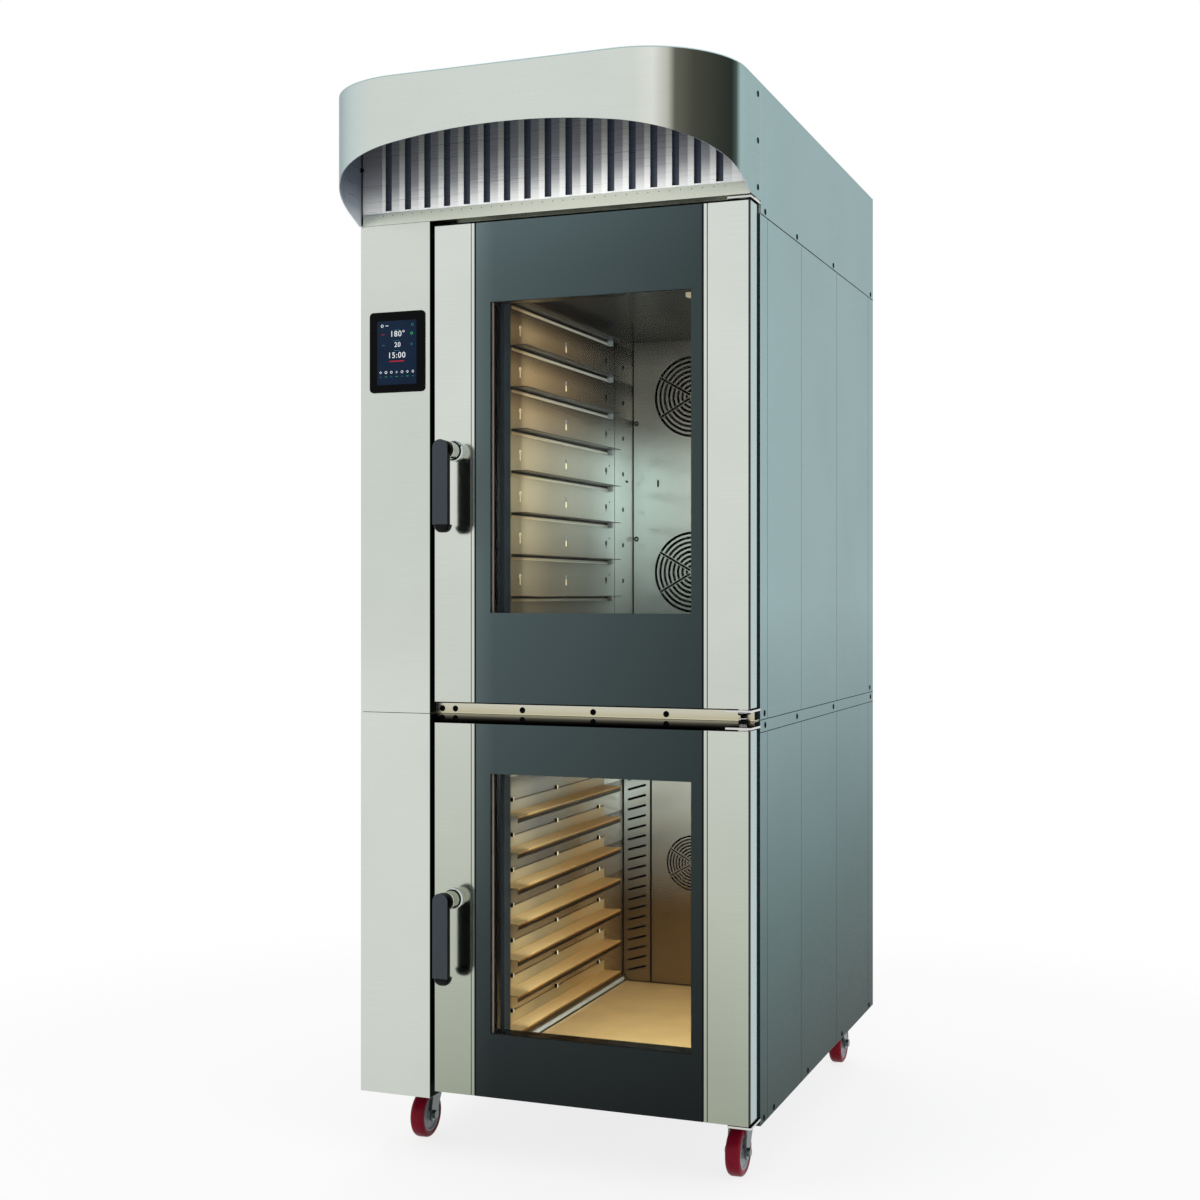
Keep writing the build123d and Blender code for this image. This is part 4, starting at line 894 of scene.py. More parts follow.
# Folded stainless strip between the doors, with painted light and shade: straw coloured with a painted
# highlight above its seam, and black at its foot.
BAND_STEEL = BrushedSteel(
    "stainless_steel_folded_band", "#8F8E7C", roughness=0.24, streak=(90.0, 90.0, 1.6), contrast=0.03,
    painted_light_by_height=(
        (924.5, "#050505"), (929, "#141311"), (934, "#45423A"), (938, "#827D6B"), (940.6, "#8F8B78"),
        (941.6, "#D6D2B4"), (944, "#B9B398"), (952, "#C3BFA9"), (962.5, "#CBC9B9"),
    ),
)
# Borosilicate cover, frosted by etching: it glows evenly, warm white.
LAMP_GLASS = Glow("borosilicate_frosted_lit", "#E8D9BC", strength=0.5)
# Display's lit digits and marks: flat colours that shed their own light.
DIGIT_WHITE = Glow("display_digit_white", "#E4EAEE", strength=1.0)
DIGIT_RED = Glow("display_mark_red", "#C0303A", strength=0.9)
DIGIT_GREEN = Glow("display_mark_green", "#35C46A", strength=0.9)
DIGIT_TEAL = Glow("display_mark_teal", "#3C7F8E", strength=0.8)


def dress(node: str, finish: Finish, edge: float = 0.5) -> None:
    """Gives a CAD node its finish, and breaks its sharp edges by a hair.

    Args:
        node: Name of the CAD node.
        finish: Finish to lay on it.
        edge: Width of the broken edge in millimetres, or 0 for none.
    """
    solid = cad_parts[node]
    if not solid.material_slots:
        solid.data.materials.append(None)
    for holder in solid.material_slots:
        holder.material = finish.material()
    if edge:
        weld = solid.modifiers.new("weld", "WELD")
        weld.merge_threshold = WELD_MM * MM
        bevel = solid.modifiers.new("edge", "BEVEL")
        bevel.width = edge * MM
        bevel.segments = 2
        bevel.limit_method = "ANGLE"
        bevel.angle_limit = EDGE_ANGLE
        bevel.harden_normals = False
        weighted = solid.modifiers.new("even", "WEIGHTED_NORMAL")
        weighted.keep_sharp = True
    log.info("dressed %s in %s", node, finish.name)


def span(node: str) -> Corners:
    """Gives the lowest and highest corner of a CAD node, in millimetres."""
    low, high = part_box(node)
    return low / MM, high / MM


def islands(node: str) -> list[Corners]:
    """Finds the separate solids of a CAD node.

    Args:
        node: Name of the CAD node.

    Returns:
        The lowest and highest corner of each solid, in millimetres.
    """
    copy = bmesh.new()
    copy.from_mesh(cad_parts[node].data)
    bmesh.ops.remove_doubles(copy, verts=copy.verts, dist=0.01 * MM)
    seen: set[int] = set()
    found = []
    for start in copy.verts:
        if start.index in seen:
            continue
        group, queue = [], [start]
        seen.add(start.index)
        while queue:
            vertex = queue.pop()
            group.append(vertex.co / MM)
            for edge in vertex.link_edges:
                other = edge.other_vert(vertex)
                if other.index not in seen:
                    seen.add(other.index)
                    queue.append(other)
        low = Vector([min(p[axis] for p in group) for axis in range(3)])
        high = Vector([max(p[axis] for p in group) for axis in range(3)])
        found.append((low, high))
    copy.free()
    return found


def opening(node: str, rim: float = 1.0) -> tuple[float, float, float, float]:
    """Measures the opening in a flat, upright ring.

    Args:
        node: Name of the CAD node.
        rim: Least width of the ring in millimetres.

    Returns:
        The left, right, bottom and top of the opening, in millimetres.
    """
    low, high = span(node)
    points = [vertex.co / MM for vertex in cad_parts[node].data.vertices]
    inner = [p for p in points if low.x + rim < p.x < high.x - rim and low.z + rim < p.z < high.z - rim]
    across = [p.x for p in inner]
    upward = [p.z for p in inner]
    return (min(across), max(across), min(upward), max(upward))


def rounded(low: Pair, high: Pair, radius: float, steps: int = 6) -> Outline:
    """Draws a rectangle with round corners.

    Args:
        low: Its lowest corner.
        high: Its highest corner.
        radius: Radius of its corners.
        steps: Sides that stand for each quarter turn.

    Returns:
        The outline.
    """
    corners = (
        (high[0] - radius, high[1] - radius, 0),
        (low[0] + radius, high[1] - radius, 90),
        (low[0] + radius, low[1] + radius, 180),
        (high[0] - radius, low[1] + radius, 270),
    )
    turns = [math.radians(90 * n / steps) for n in range(steps + 1)]
    angles = [(x, y, math.radians(start) + turn) for x, y, start in corners for turn in turns]
    return [(x + radius * math.cos(angle), y + radius * math.sin(angle)) for x, y, angle in angles]


class Shape:
    """Gathers solids, drawn in millimetres, into one mesh object."""

    def __init__(self) -> None:
        """Starts an empty shape."""
        self.mesh = bmesh.new()
        self.finishes: list[Finish] = []

    def _index(self, finish: Finish) -> int:
        """Gives the material slot of a finish, made on first use.

        Args:
            finish: Finish of some faces.

        Returns:
            The slot's number.
        """
        if finish not in self.finishes:
            self.finishes.append(finish)
        return self.finishes.index(finish)

    def _close(self, before: set[bmesh.types.BMFace], finish: Finish, edge: float, segments: int) -> None:
        """Colours the faces that weren't there before, and rounds their sharp edges.

        Args:
            before: Faces that were there before.
            finish: Finish of the new faces.
            edge: Width of the rounded edges in millimetres, or 0 for none.
            segments: Steps of the rounding.
        """
        faces = [face for face in self.mesh.faces if face not in before]
        bmesh.ops.recalc_face_normals(self.mesh, faces=faces)
        if edge:
            joints = {joint for face in faces for joint in face.edges if len(joint.link_faces) == 2}
            bmesh.ops.bevel(
                self.mesh,
                geom=[joint for joint in joints if joint.calc_face_angle() > SHARP],
                offset=edge,
                segments=segments,
                affect="EDGES",
                profile=0.5,
                clamp_overlap=True,
            )
            faces = [face for face in self.mesh.faces if face not in before]
        index = self._index(finish)
        for face in faces:
            face.material_index = index

    def box(self, low: Point, high: Point, finish: Finish, edge: float = 0.5, segments: int = 2) -> None:
        """Adds a block with broken edges.

        Args:
            low: Its lowest corner.
            high: Its highest corner.
            finish: Its finish.
            edge: Width of its broken edges, or 0 for none.
            segments: Steps of the broken edges.
        """
        before = set(self.mesh.faces)
        made = bmesh.ops.create_cube(self.mesh, size=1.0)["verts"]
        for vertex in made:
            for axis in range(3):
                vertex.co[axis] = low[axis] if vertex.co[axis] < 0 else high[axis]
        self._close(before, finish, edge, segments)

    def prism(
        self,
        face: Face,
        outline: Outline,
        start: float,
        end: float,
        finish: Finish,
        edge: float = 0.5,
        segments: int = 2,
    ) -> None:
        """Adds an outline drawn on a plane and extruded along the third axis.

        Args:
            face: Plane of the outline.
            outline: Its points in order.
            start: Where it starts along the third axis.
            end: Where it ends.
            finish: Its finish.
            edge: Width of its broken edges, or 0 for none.
            segments: Steps of the broken edges.
        """
        before = set(self.mesh.faces)
        rings = [[self.mesh.verts.new(face.at(a, u, out)) for a, u in outline] for out in (start, end)]
        near, far = rings
        self.mesh.faces.new(near)
        self.mesh.faces.new(far)
        for n in range(len(outline)):
            self.mesh.faces.new((near[n - 1], near[n], far[n], far[n - 1]))
        self._close(before, finish, edge, segments)

    def lathe(
        self, face: Face, centre: Point, profile: Outline, finish: Finish, edge: float = 0.0, steps: int = 40
    ) -> None:
        """Adds a turned solid.

        Args:
            face: Plane that its axis stands on.
            centre: Point on its axis.
            profile: Radius and place along the axis, point by point, closed on itself or at the axis.
            finish: Its finish.
            edge: Width of its broken edges, or 0 for none.
            steps: Sides of its circles.
        """
        before = set(self.mesh.faces)
        origin = Vector(centre)
        rings = []
        for radius, out in profile:
            if radius < 1e-6:
                rings.append([self.mesh.verts.new(origin + face.at(0, 0, out))])
                continue
            turns = [2 * math.pi * n / steps for n in range(steps)]
            circle = [origin + face.at(radius * math.cos(t), radius * math.sin(t), out) for t in turns]
            rings.append([self.mesh.verts.new(point) for point in circle])
        pairs = list(zip(rings, rings[1:]))
        if len(rings[0]) > 1 and len(rings[-1]) > 1:
            pairs.append((rings[-1], rings[0]))
        for inner, outer in pairs:
            if len(inner) == 1 and len(outer) == 1:
                continue
            for n in range(steps):
                m = (n + 1) % steps
                near = [inner[n % len(inner)], inner[m % len(inner)]]
                far = [outer[m % len(outer)], outer[n % len(outer)]]
                self.mesh.faces.new(list(dict.fromkeys(near + far)))
        self._close(before, finish, edge, 2)

    def disc(
        self,
        face: Face,
        centre: Point,
        radius: float,
        height: float,
        finish: Finish,
        steps: int = 16,
        bore: float = 0.0,
        edge: float = 0.0,
    ) -> None:
        """Adds a flat disc, or a ring where it has a bore.

        Args:
            face: Plane that it lies on.
            centre: Middle of its foot.
            radius: Its outer radius.
            height: How far it stands off the plane, below 0 for the other way.
            finish: Its finish.
            steps: Its sides.
            bore: Radius of its hole, or 0 for none.
            edge: Width of its broken edges, or 0 for none.
        """
        wall = [(bore, 0), (radius, 0), (radius, height), (bore, height)]
        self.lathe(face, centre, wall, finish, edge, steps)

    def loft(self, sections: list[list[Vector]], finish: Finish) -> None:
        """Adds a skin over sections with equal counts of points, and closes both ends.

        Args:
            sections: Closed sections, each a list of points in order.
            finish: Its finish.
        """
        before = set(self.mesh.faces)
        rings = [[self.mesh.verts.new(point) for point in section] for section in sections]
        steps = len(rings[0])
        for low, high in zip(rings, rings[1:]):
            for k in range(steps):
                self.mesh.faces.new((low[k], low[(k + 1) % steps], high[(k + 1) % steps], high[k]))
        self.mesh.faces.new(rings[0])
        self.mesh.faces.new(rings[-1])
        self._close(before, finish, 0, 0)

    def screw(self, face: Face, centre: Point, side: int, radius: float, height: float, finish: Finish) -> None:
        """Adds a low domed screw head with a hexagon socket.

        Args:
            face: Plane that it sits on.
            centre: Middle of its foot.
            side: 1 or -1, the way it points along the third axis.
            radius: Radius of the head.
            height: Height of the head.
            finish: Finish of the head.
        """
        tall = side * height
        profile = [
            (0, tall * 0.4),
            (radius * 0.42, tall * 0.4),
            (radius * 0.46, tall * 0.96),
            (radius * 0.7, tall * 0.9),
            (radius * 0.92, tall * 0.6),
            (radius, tall * 0.1),
            (radius, 0),
            (0, 0),
        ]
        self.lathe(face, centre, profile, finish, steps=24)
        floor = tuple(Vector(centre) + face.at(0, 0, tall * 0.3))
        self.disc(face, floor, radius * 0.4, tall * 0.15, JOINT_BLACK_AND_PAINTED_SHADE, 6)

    def place(self, name: str, body: str, slot: str, stands_for: tuple[str, ...] = ()) -> bpy.types.Object:
        """Makes the object, lets it ride on its body and hides the CAD nodes that it stands for.

        Args:
            name: Name of the piece.
            body: CAD body that carries it.
            slot: Material slot of the record; not used.
            stands_for: CAD nodes that it replaces.

        Returns:
            The object.
        """
        for edge in self.mesh.edges:
            edge.smooth = len(edge.link_faces) != 2 or edge.calc_face_angle() < SHARP
        for face in self.mesh.faces:
            face.smooth = True
        bmesh.ops.transform(self.mesh, matrix=Matrix.Scale(MM, 4), verts=self.mesh.verts)
        data = bpy.data.meshes.new(name)
        self.mesh.to_mesh(data)
        self.mesh.free()
        for finish in self.finishes:
            data.materials.append(finish.material())
        piece = bpy.data.objects.new(name, data)
        bring_in(piece)
        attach(piece, body)
        if stands_for:
            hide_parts(*stands_for)
        log.info("placed %s on %s: %d faces", name, body, len(data.polygons))
        return piece


@dataclass(frozen=True)
class Lamp:
    """A soft area lamp that the camera and mirrors don't show; places and sizes are in millimetres."""

    name: str
    place: Point
    aim: Point
    width: float
    height: float
    power: float
    colour: str

    def hang(self) -> None:
        """Hangs the lamp at its place, and turns it to its aim."""
        data = bpy.data.lights.new(self.name, "AREA")
        data.shape = "RECTANGLE"
        data.size = self.width * MM
        data.size_y = self.height * MM
        data.energy = self.power
        data.color = linear(self.colour)[:3]
        lamp = bpy.data.objects.new(self.name, data)
        lamp.location = Vector(self.place) * MM
        lamp.rotation_euler = (Vector(self.aim) - Vector(self.place)).to_track_quat("-Z", "Y").to_euler()
        lamp.visible_glossy = False
        lamp.visible_camera = False
        bring_in(lamp)


@dataclass
class Studio:
    """White studio: soft lamps, a pale floor that fades away, and the camera."""

    camera_place: Point = (1337.5, -3647.0, 1191.0)
    camera_turn: float = 20.93
    focal_px: float = 1702.0
    picture_px: float = 1200.0
    horizon_px: float = 594.0
    sensor: float = 36.0
    far_metres: float = 60.0
    ambient: float = 0.72
    floor_lift: float = 0.8
    floor_radius: float = 4200.0
    floor_sides: int = 96
    fade_start: float = 1500.0
    fade_end: float = 2600.0
    centre: Point = (0.0, 0.0, 1100.0)
    soft: float = 2600.0

    def build(self) -> None:
        """Builds the world, floor, lamps and camera."""
        bpy.context.scene.view_settings.view_transform = "Standard"
        self.world()
        self.floor()
        lamps = (
            Lamp("key", (-2600.0, -4200.0, 3900.0), self.centre, self.soft, self.soft, 60.0, "#FFFDF8"),
            Lamp("fill", (4200.0, -1800.0, 2600.0), self.centre, self.soft, self.soft, 38.0, "#F4FAFF"),
            Lamp("rear", (-1200.0, 4400.0, 3400.0), self.centre, self.soft, self.soft, 45.0, WHITE),
            Lamp("hood_foot", (0.0, -600.0, 1978.0), (0.0, -449.0, 2050.0), 800.0, 90.0, 0.55, "#F6F8FA"),
        )
        for lamp in lamps:
            lamp.hang()
        self.camera()

    def seen(self, tree: Tree) -> Socket:
        """Tells the rays that show the backdrop from those that carry light.

        Args:
            tree: Node tree of the world or of the floor's paper.

        Returns:
            1 for the rays of the camera, of mirrors and of clear glass, and 0 for light.
        """
        path = add(tree, "LightPath")
        seen = path.outputs["Is Camera Ray"]
        for other in ("Is Glossy Ray", "Is Transmission Ray"):
            inputs = {0: seen, 1: path.outputs[other]}
            seen = add(tree, "Math", inputs, operation="MAXIMUM").outputs[0]
        return seen

    def world(self) -> None:
        """Makes the backdrop white for the camera and for mirrors, and softer for the light it sheds."""
        world = bpy.data.worlds.new("studio")
        bpy.context.scene.world = world
        world.use_nodes = True
        tree = world.node_tree
        tree.nodes.clear()
        inputs = {"Value": self.seen(tree), "To Min": self.ambient, "To Max": 1.0}
        strength = add(tree, "MapRange", inputs)
        inputs = {"Color": linear(WHITE), "Strength": strength.outputs[0]}
        shade = add(tree, "Background", inputs)
        add(tree, "OutputWorld", {"Surface": shade.outputs[0]})

    def paper(self) -> bpy.types.Material:
        """Makes the floor's paper: matte, as white as the backdrop to the camera, and clear at its rim.

        Returns:
            The material.
        """
        material = bpy.data.materials.new("studio_floor_paper")
        material.use_nodes = True
        tree = material.node_tree
        tree.nodes.clear()
        place = add(tree, "TexCoord").outputs["Object"]
        distance = add(tree, "VectorMath", {0: place}, operation="LENGTH").outputs["Value"]
        inputs = {"Value": distance, "From Min": self.fade_start * MM, "From Max": self.fade_end * MM}
        fade = add(tree, "MapRange", inputs, interpolation_type="SMOOTHSTEP")
        matte = add(tree, "BsdfPrincipled", {"Base Color": linear("#FBFBFA"), "Roughness": 0.9})
        bright = add(tree, "Emission", {"Color": linear(WHITE), "Strength": 1.0})
        inputs = {0: self.seen(tree), 1: self.floor_lift}
        lift = add(tree, "Math", inputs, operation="MULTIPLY")
        inputs = {0: lift.outputs[0], 1: matte.outputs[0], 2: bright.outputs[0]}
        paper = add(tree, "MixShader", inputs)
        clear = add(tree, "BsdfTransparent")
        inputs = {0: fade.outputs[0], 1: paper.outputs[0], 2: clear.outputs[0]}
        mixed = add(tree, "MixShader", inputs)
        add(tree, "OutputMaterial", {"Surface": mixed.outputs[0]})
        return material

    def floor(self) -> None:
        """Lays a pale floor whose rim fades into the backdrop."""
        sheet = bmesh.new()
        radius = self.floor_radius * MM
        bmesh.ops.create_circle(sheet, cap_ends=True, radius=radius, segments=self.floor_sides)
        data = bpy.data.meshes.new("studio_floor")
        sheet.to_mesh(data)
        sheet.free()
        data.materials.append(self.paper())
        floor = bpy.data.objects.new("studio_floor", data)
        bring_in(floor)

    def camera(self) -> None:
        """Stands the camera where the picture was taken from."""
        data = bpy.data.cameras.new("camera")
        data.sensor_width = self.sensor
        data.lens = self.focal_px / self.picture_px * self.sensor
        data.shift_y = (self.horizon_px - self.picture_px / 2) / self.picture_px
        data.clip_end = self.far_metres
        camera = bpy.data.objects.new("camera", data)
        camera.location = Vector(self.camera_place) * MM
        camera.rotation_euler = (math.radians(90), 0.0, math.radians(self.camera_turn))
        bring_in(camera)
        bpy.context.scene.camera = camera


@dataclass
class Cabinet:
    """Frame, outer panels, their screws and the services at the back."""

    head_radius: float = 6.4
    seam_depth: float = 1.0
    seam_lift: float = 0.12
    narrowest_seam: float = 0.05
    widest_seam: float = 6.0
    seam_end: float = 1.0
    seam_inset: float = 0.5
    level_seam: float = 0.35
    hood_seam: float = 0.9
    hood_level: float = 1900.0
    gland_nut: float = 15.0
    gland_nut_length: float = 2.4
    gland_nut_gap: float = 0.2
    gland_bore_share: float = 0.45

    def build(self) -> None:
        """Dresses the cabinet and adds its small hardware."""
        for node in ("base_frame", "body_frame"):
            dress(node, FRAME_STEEL, 0.4)
        for node in ("oven_front_frame", "proofer_front_frame"):
            dress(node, THROAT_PAINTED_SHADE, 0.4)
        for node in ("proofer_side_panels", "oven_side_panels", "rear_panels"):
            dress(node, PANEL_STEEL, 0 if node == "rear_panels" else 0.4)
        for node in ("oven_insulation", "proofer_insulation"):
            dress(node, WOOL, 0)
        self.screws()
        self.seams()
        self.services()

    def seams(self) -> None:
        """Fills the seams between the side panels with a black strip, a hair proud."""
        shape = Shape()
        panels = [solid for unit in Unit for solid in islands(f"{unit.value}_side_panels")]
        panels += islands("hood_side_panels")
        for side in (-1, 1):
            own = [(low, high) for low, high in panels if (low.x + high.x) * side > 0]
            face = max(abs(high.x if side > 0 else low.x) for low, high in own)
            xs = sorted((side * (face - self.seam_depth), side * (face + self.seam_lift)))
            for low, high in own:
                for other, other_high in own:
                    gap = other.y - high.y
                    if self.narrowest_seam < gap < self.widest_seam > abs(other.z - low.z):
                        start = (xs[0], high.y, low.z + self.seam_end)
                        shape.box(start, (xs[1], other.y, high.z - self.seam_end), JOINT_BLACK_AND_PAINTED_SHADE, 0)
                    rise = other.z - high.z
                    crossing = high.y > other.y and low.y < other_high.y
                    if self.narrowest_seam < rise < self.widest_seam and crossing:
                        more = self.hood_seam if other.z > self.hood_level else self.level_seam
                        start = (xs[0], max(low.y, other.y) + self.seam_inset, high.z - more)
                        end = (xs[1], min(high.y, other_high.y) - self.seam_inset, other.z + more)
                        shape.box(start, end, JOINT_BLACK_AND_PAINTED_SHADE, 0)
        shape.place("panel_seam_strips", "cabinet", "seal_rubber")

    def screws(self) -> None:
        """Replaces the plain screw heads with domed socket screws."""
        shape = Shape()
        for low, high in islands("panel_screws"):
            middle = (low + high) / 2
            size = high - low
            if size.x < size.z:
                side = 1 if middle.x > 0 else -1
                seat = (low.x if side > 0 else high.x, middle.y, middle.z)
                shape.screw(Face.SIDE, seat, side, self.head_radius, size.x, SCREW_AND_GROOVE_BLACK)
            else:
                seat = (middle.x, high.y, middle.z)
                shape.screw(Face.FRONT, seat, -1, self.head_radius, size.y, SCREW_AND_GROOVE_BLACK)
        shape.place("panel_screw_heads", "cabinet", "screw_steel", ("panel_screws",))

    def services(self) -> None:
        """Dresses the pipes and the cable gland, and puts a hexagon nut round the gland."""
        dress("water_fittings", BRASS, 0.4)
        dress("cable_gland", GLAND_NYLON, 0.4)
        low, high = span("cable_gland")
        middle = (low + high) / 2
        bore = (high.x - low.x) / 2 * self.gland_bore_share
        seat = (middle.x, low.y - self.gland_nut_gap, middle.z)
        shape = Shape()
        shape.disc(Face.FRONT, seat, self.gland_nut, -self.gland_nut_length, GLAND_NYLON, 6, bore, 0.3)
        shape.place("cable_gland_nut", "cabinet", "gland_plastic")


@dataclass
class Hood:
    """Steam hood: rolled skirt, side panels, roof, ledge, slotted filter and exhaust spigot."""

    seam_x: float = -427.6
    seam_width: float = 2.4
    bolt_rise: float = 119.0
    bolt_radius: float = 4.7
    bolt_height: float = 5.0
    seam_proud: Pair = (1.6, 0.2)
    seam_ends: Pair = (2.0, 8.0)
    dot_radius: float = 1.0
    dot_drop: float = 6.0
    dot_rise: Pair = (0.25, 0.2)
    slot_pitch: float = 45.6
    slot_count: int = 17
    gap_right: float = 380.0
    gap_top: float = 0.5
    gap_tall: float = 9.0
    gap_set_back: Pair = (3.0, 1.0)
    spigot_radius: float = 75.0
    bead: Profile = ((-0.1, 12.0), (1.4, 11.0), (1.8, 9.0), (1.4, 7.0), (-0.1, 6.0))

    def build(self) -> None:
        """Dresses the hood and adds its seams, bolts and dots."""
        dress("hood_skirt", HOOD_STEEL, 0)
        for node in ("hood_side_panels", "hood_roof", "hood_rear_panel", "exhaust_spigot"):
            dress(node, PANEL_STEEL, 0.3 if node != "exhaust_spigot" else 0)
        dress("hood_ledge", LEDGE_STEEL, 0.4)
        dress("hood_filter", FILTER_STEEL, 0)
        self.details()
        self.spigot_bead()

    def details(self) -> None:
        """Adds the seam and bolt at the filter's left end, the ledge's dots, and a black strip of painted shade
        in the gap under it.
        """
        low, high = span("hood_skirt")
        ledge_low, ledge_high = span("hood_ledge")
        shape = Shape()
        seam = (self.seam_x, self.seam_x + self.seam_width)
        front, back = (ledge_low.y - proud for proud in self.seam_proud)
        foot, head = self.seam_ends
        shape.box((seam[0], front, low.z + foot), (seam[1], back, high.z - head), JOINT_BLACK_AND_PAINTED_SHADE, 0.3)
        bolt = ((seam[0] + seam[1]) / 2, front, low.z + self.bolt_rise)
        shape.screw(Face.FRONT, bolt, -1, self.bolt_radius, self.bolt_height, JOINT_BLACK_AND_PAINTED_SHADE)
        peak, rim = self.dot_rise
        dot = [(0, -peak), (self.dot_radius, -rim), (self.dot_radius, 0), (0, 0)]
        for n in range(self.slot_count):
            for offset in (-self.slot_pitch / 4, self.slot_pitch / 4):
                x = (n - (self.slot_count - 1) / 2) * self.slot_pitch + offset
                centre = (x, ledge_low.y, ledge_high.z - self.dot_drop)
                shape.lathe(Face.FRONT, centre, dot, SCREW_AND_GROOVE_BLACK, steps=12)
        # A black strip of painted shade in the gap under the ledge.
        column_high = span("column_upper")[1]
        shade_strip_top = ledge_low.z - self.gap_top
        ahead, behind = self.gap_set_back
        start = (column_high.x, ledge_low.y + ahead, shade_strip_top - self.gap_tall)
        shape.box(start, (self.gap_right, column_high.y - behind, shade_strip_top), JOINT_BLACK_AND_PAINTED_SHADE, 0.3)
        shape.place("hood_small_parts", "cabinet", "hood_steel")

    def spigot_bead(self) -> None:
        """Rolls a bead round the exhaust spigot."""
        low, high = span("exhaust_spigot")
        middle = (low + high) / 2
        bead = [(self.spigot_radius + rise, high.z - drop) for rise, drop in self.bead]
        shape = Shape()
        shape.lathe(Face.FLOOR, (middle.x, middle.y, 0), bead, PANEL_STEEL, steps=64)
        shape.place("exhaust_bead", "cabinet", "panel_steel")


@dataclass
class ControlColumn:
    """Service column on the left, with the touch display."""

    strip: float = 1.2
    back_strip: float = 4.0
    back_width: float = 30.0
    strip_end: float = 2.0
    strip_inset: Pair = (0.6, 1.0)
    bezel_radius: float = 9.0
    bezel_edge: float = 1.6
    screen_radius: float = 2.0
    screen_front: float = 0.2
    screen_back: float = 1.0
    digit_front: float = 0.05
    digit_thickness: float = 0.1
    digit_spread: float = 1.12
    digit_weight: float = 0.12
    mark_depth: float = 0.4
    ring_share: float = 0.6
    sides: tuple[int, ...] = (4, 16, 6, 3, 8, 4, 5)

    def build(self) -> None:
        """Dresses the column and builds the display."""
        dress("column_upper", COLUMN_STEEL, 0.6)
        dress("column_lower", COLUMN_STEEL, 0.6)
        dress("control_board", CIRCUIT_BOARD, 0)
        self.gap_strip()
        self.display()

    def gap_strip(self) -> None:
        """Lines the column's side with a black strip of painted shade, which darkens the gap beside the doors.
        """
        low, _ = span("column_lower")
        upper_low, high = span("column_upper")
        shape = Shape()
        end = self.strip_end
        front, back = low.y + self.strip_inset[0], high.y - self.strip_inset[1]
        for foot, head in ((low.z, upper_low.z), (upper_low.z, high.z)):
            bottom, top = foot + end, head - end
            shape.box((high.x, front, bottom), (high.x + self.strip, back, top), JOINT_BLACK_AND_PAINTED_SHADE, 0.3)
            start = (high.x, high.y - self.back_strip, bottom)
            shape.box(start, (high.x + self.back_width, back, top), JOINT_BLACK_AND_PAINTED_SHADE, 0.3)
        shape.place("column_gap_strip", "cabinet", "seal_rubber")

    def display(self) -> None:
        """Replaces the bezel and lays generic digits and marks on the screen."""
        low, high = span("display_bezel")
        screen_low, screen_high = span("display_screen")
        shape = Shape()
        outline = rounded((low.x, low.z), (high.x, high.z), self.bezel_radius, 8)
        front = low.y + 2 * self.screen_front
        shape.prism(Face.FRONT, outline, front, high.y, BEZEL_PLASTIC, self.bezel_edge, 3)
        shape.place("display_bezel_gloss", "cabinet", "bezel_plastic", ("display_bezel",))
        shape = Shape()
        corners = (screen_low.x, screen_low.z), (screen_high.x, screen_high.z)
        outline = rounded(*corners, self.screen_radius, 4)
        front = low.y + self.screen_front
        shape.prism(Face.FRONT, outline, front, low.y + self.screen_back, SCREEN_GLASS, 0.1)
        shape.place("display_screen_lit", "cabinet", "screen", ("display_screen",))
        self.marks(screen_low, screen_high, low.y + self.digit_front)

    def text(self, words: str, size: float, x: float, z: float, finish: Finish, name: str, y: float) -> None:
        """Lays one line of digits on the screen.

        Args:
            words: The digits.
            size: Height of the line in millimetres.
            x: Middle of the line across the screen.
            z: Height of its middle.
            finish: Finish of the digits.
            name: Name of the piece.
            y: Where the digits' front lies.
        """
        curve = bpy.data.curves.new(name, "FONT")
        curve.body = words
        curve.size = size * MM
        curve.space_character = self.digit_spread
        curve.align_x = "CENTER"
        curve.align_y = "CENTER"
        curve.extrude = self.digit_thickness * MM / 2
        curve.offset = self.digit_weight * MM
        curve.resolution_u = 4
        curve.materials.append(finish.material())
        line = bpy.data.objects.new(name, curve)
        line.location = Vector((x, y + self.digit_thickness / 2, z)) * MM
        line.rotation_euler = (math.radians(90), 0, 0)
        bring_in(line)
        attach(line, "cabinet")
        log.info("placed %s", name)

    def marks(self, low: Vector, high: Vector, front: float) -> None:
        """Draws the temperature, humidity and time, and rows of plain symbols.

        Args:
            low: Lowest corner of the screen.
            high: Highest corner of the screen.
            front: Where the symbols' front lies.
        """
        tall = high.z - low.z
        wide = high.x - low.x
        depth = self.mark_depth

        def at(across: float, up: float) -> Pair:
            """Gives the place at shares of the screen's width and height."""
            return low.x + across * wide, low.z + up * tall

        rows = (
            ("180°", 17.0, 0.52, 0.79, "display_temperature"),
            ("20", 14.0, 0.52, 0.62, "display_humidity"),
            ("15:00", 17.0, 0.5, 0.455, "display_time"),
        )
        for words, size, across, up, name in rows:
            x, z = at(across, up)
            self.text(words, size, x, z, DIGIT_WHITE, name, front)
        shape = Shape()

        def ring(across: float, up: float, radius: float, finish: Finish, steps: int) -> None:
            """Adds a small outline symbol with as many sides as steps."""
            x, z = at(across, up)
            shape.disc(Face.FRONT, (x, front, z), radius, depth, finish, steps, radius * self.ring_share)

        def bar(across: float, up: float, length: float, height: float, finish: Finish) -> None:
            """Adds a short level bar, with its size in millimetres."""
            x, z = at(across, up)
            start = (x - length / 2, front, z - height / 2)
            shape.box(start, (x + length / 2, front + depth, z + height / 2), finish, 0)

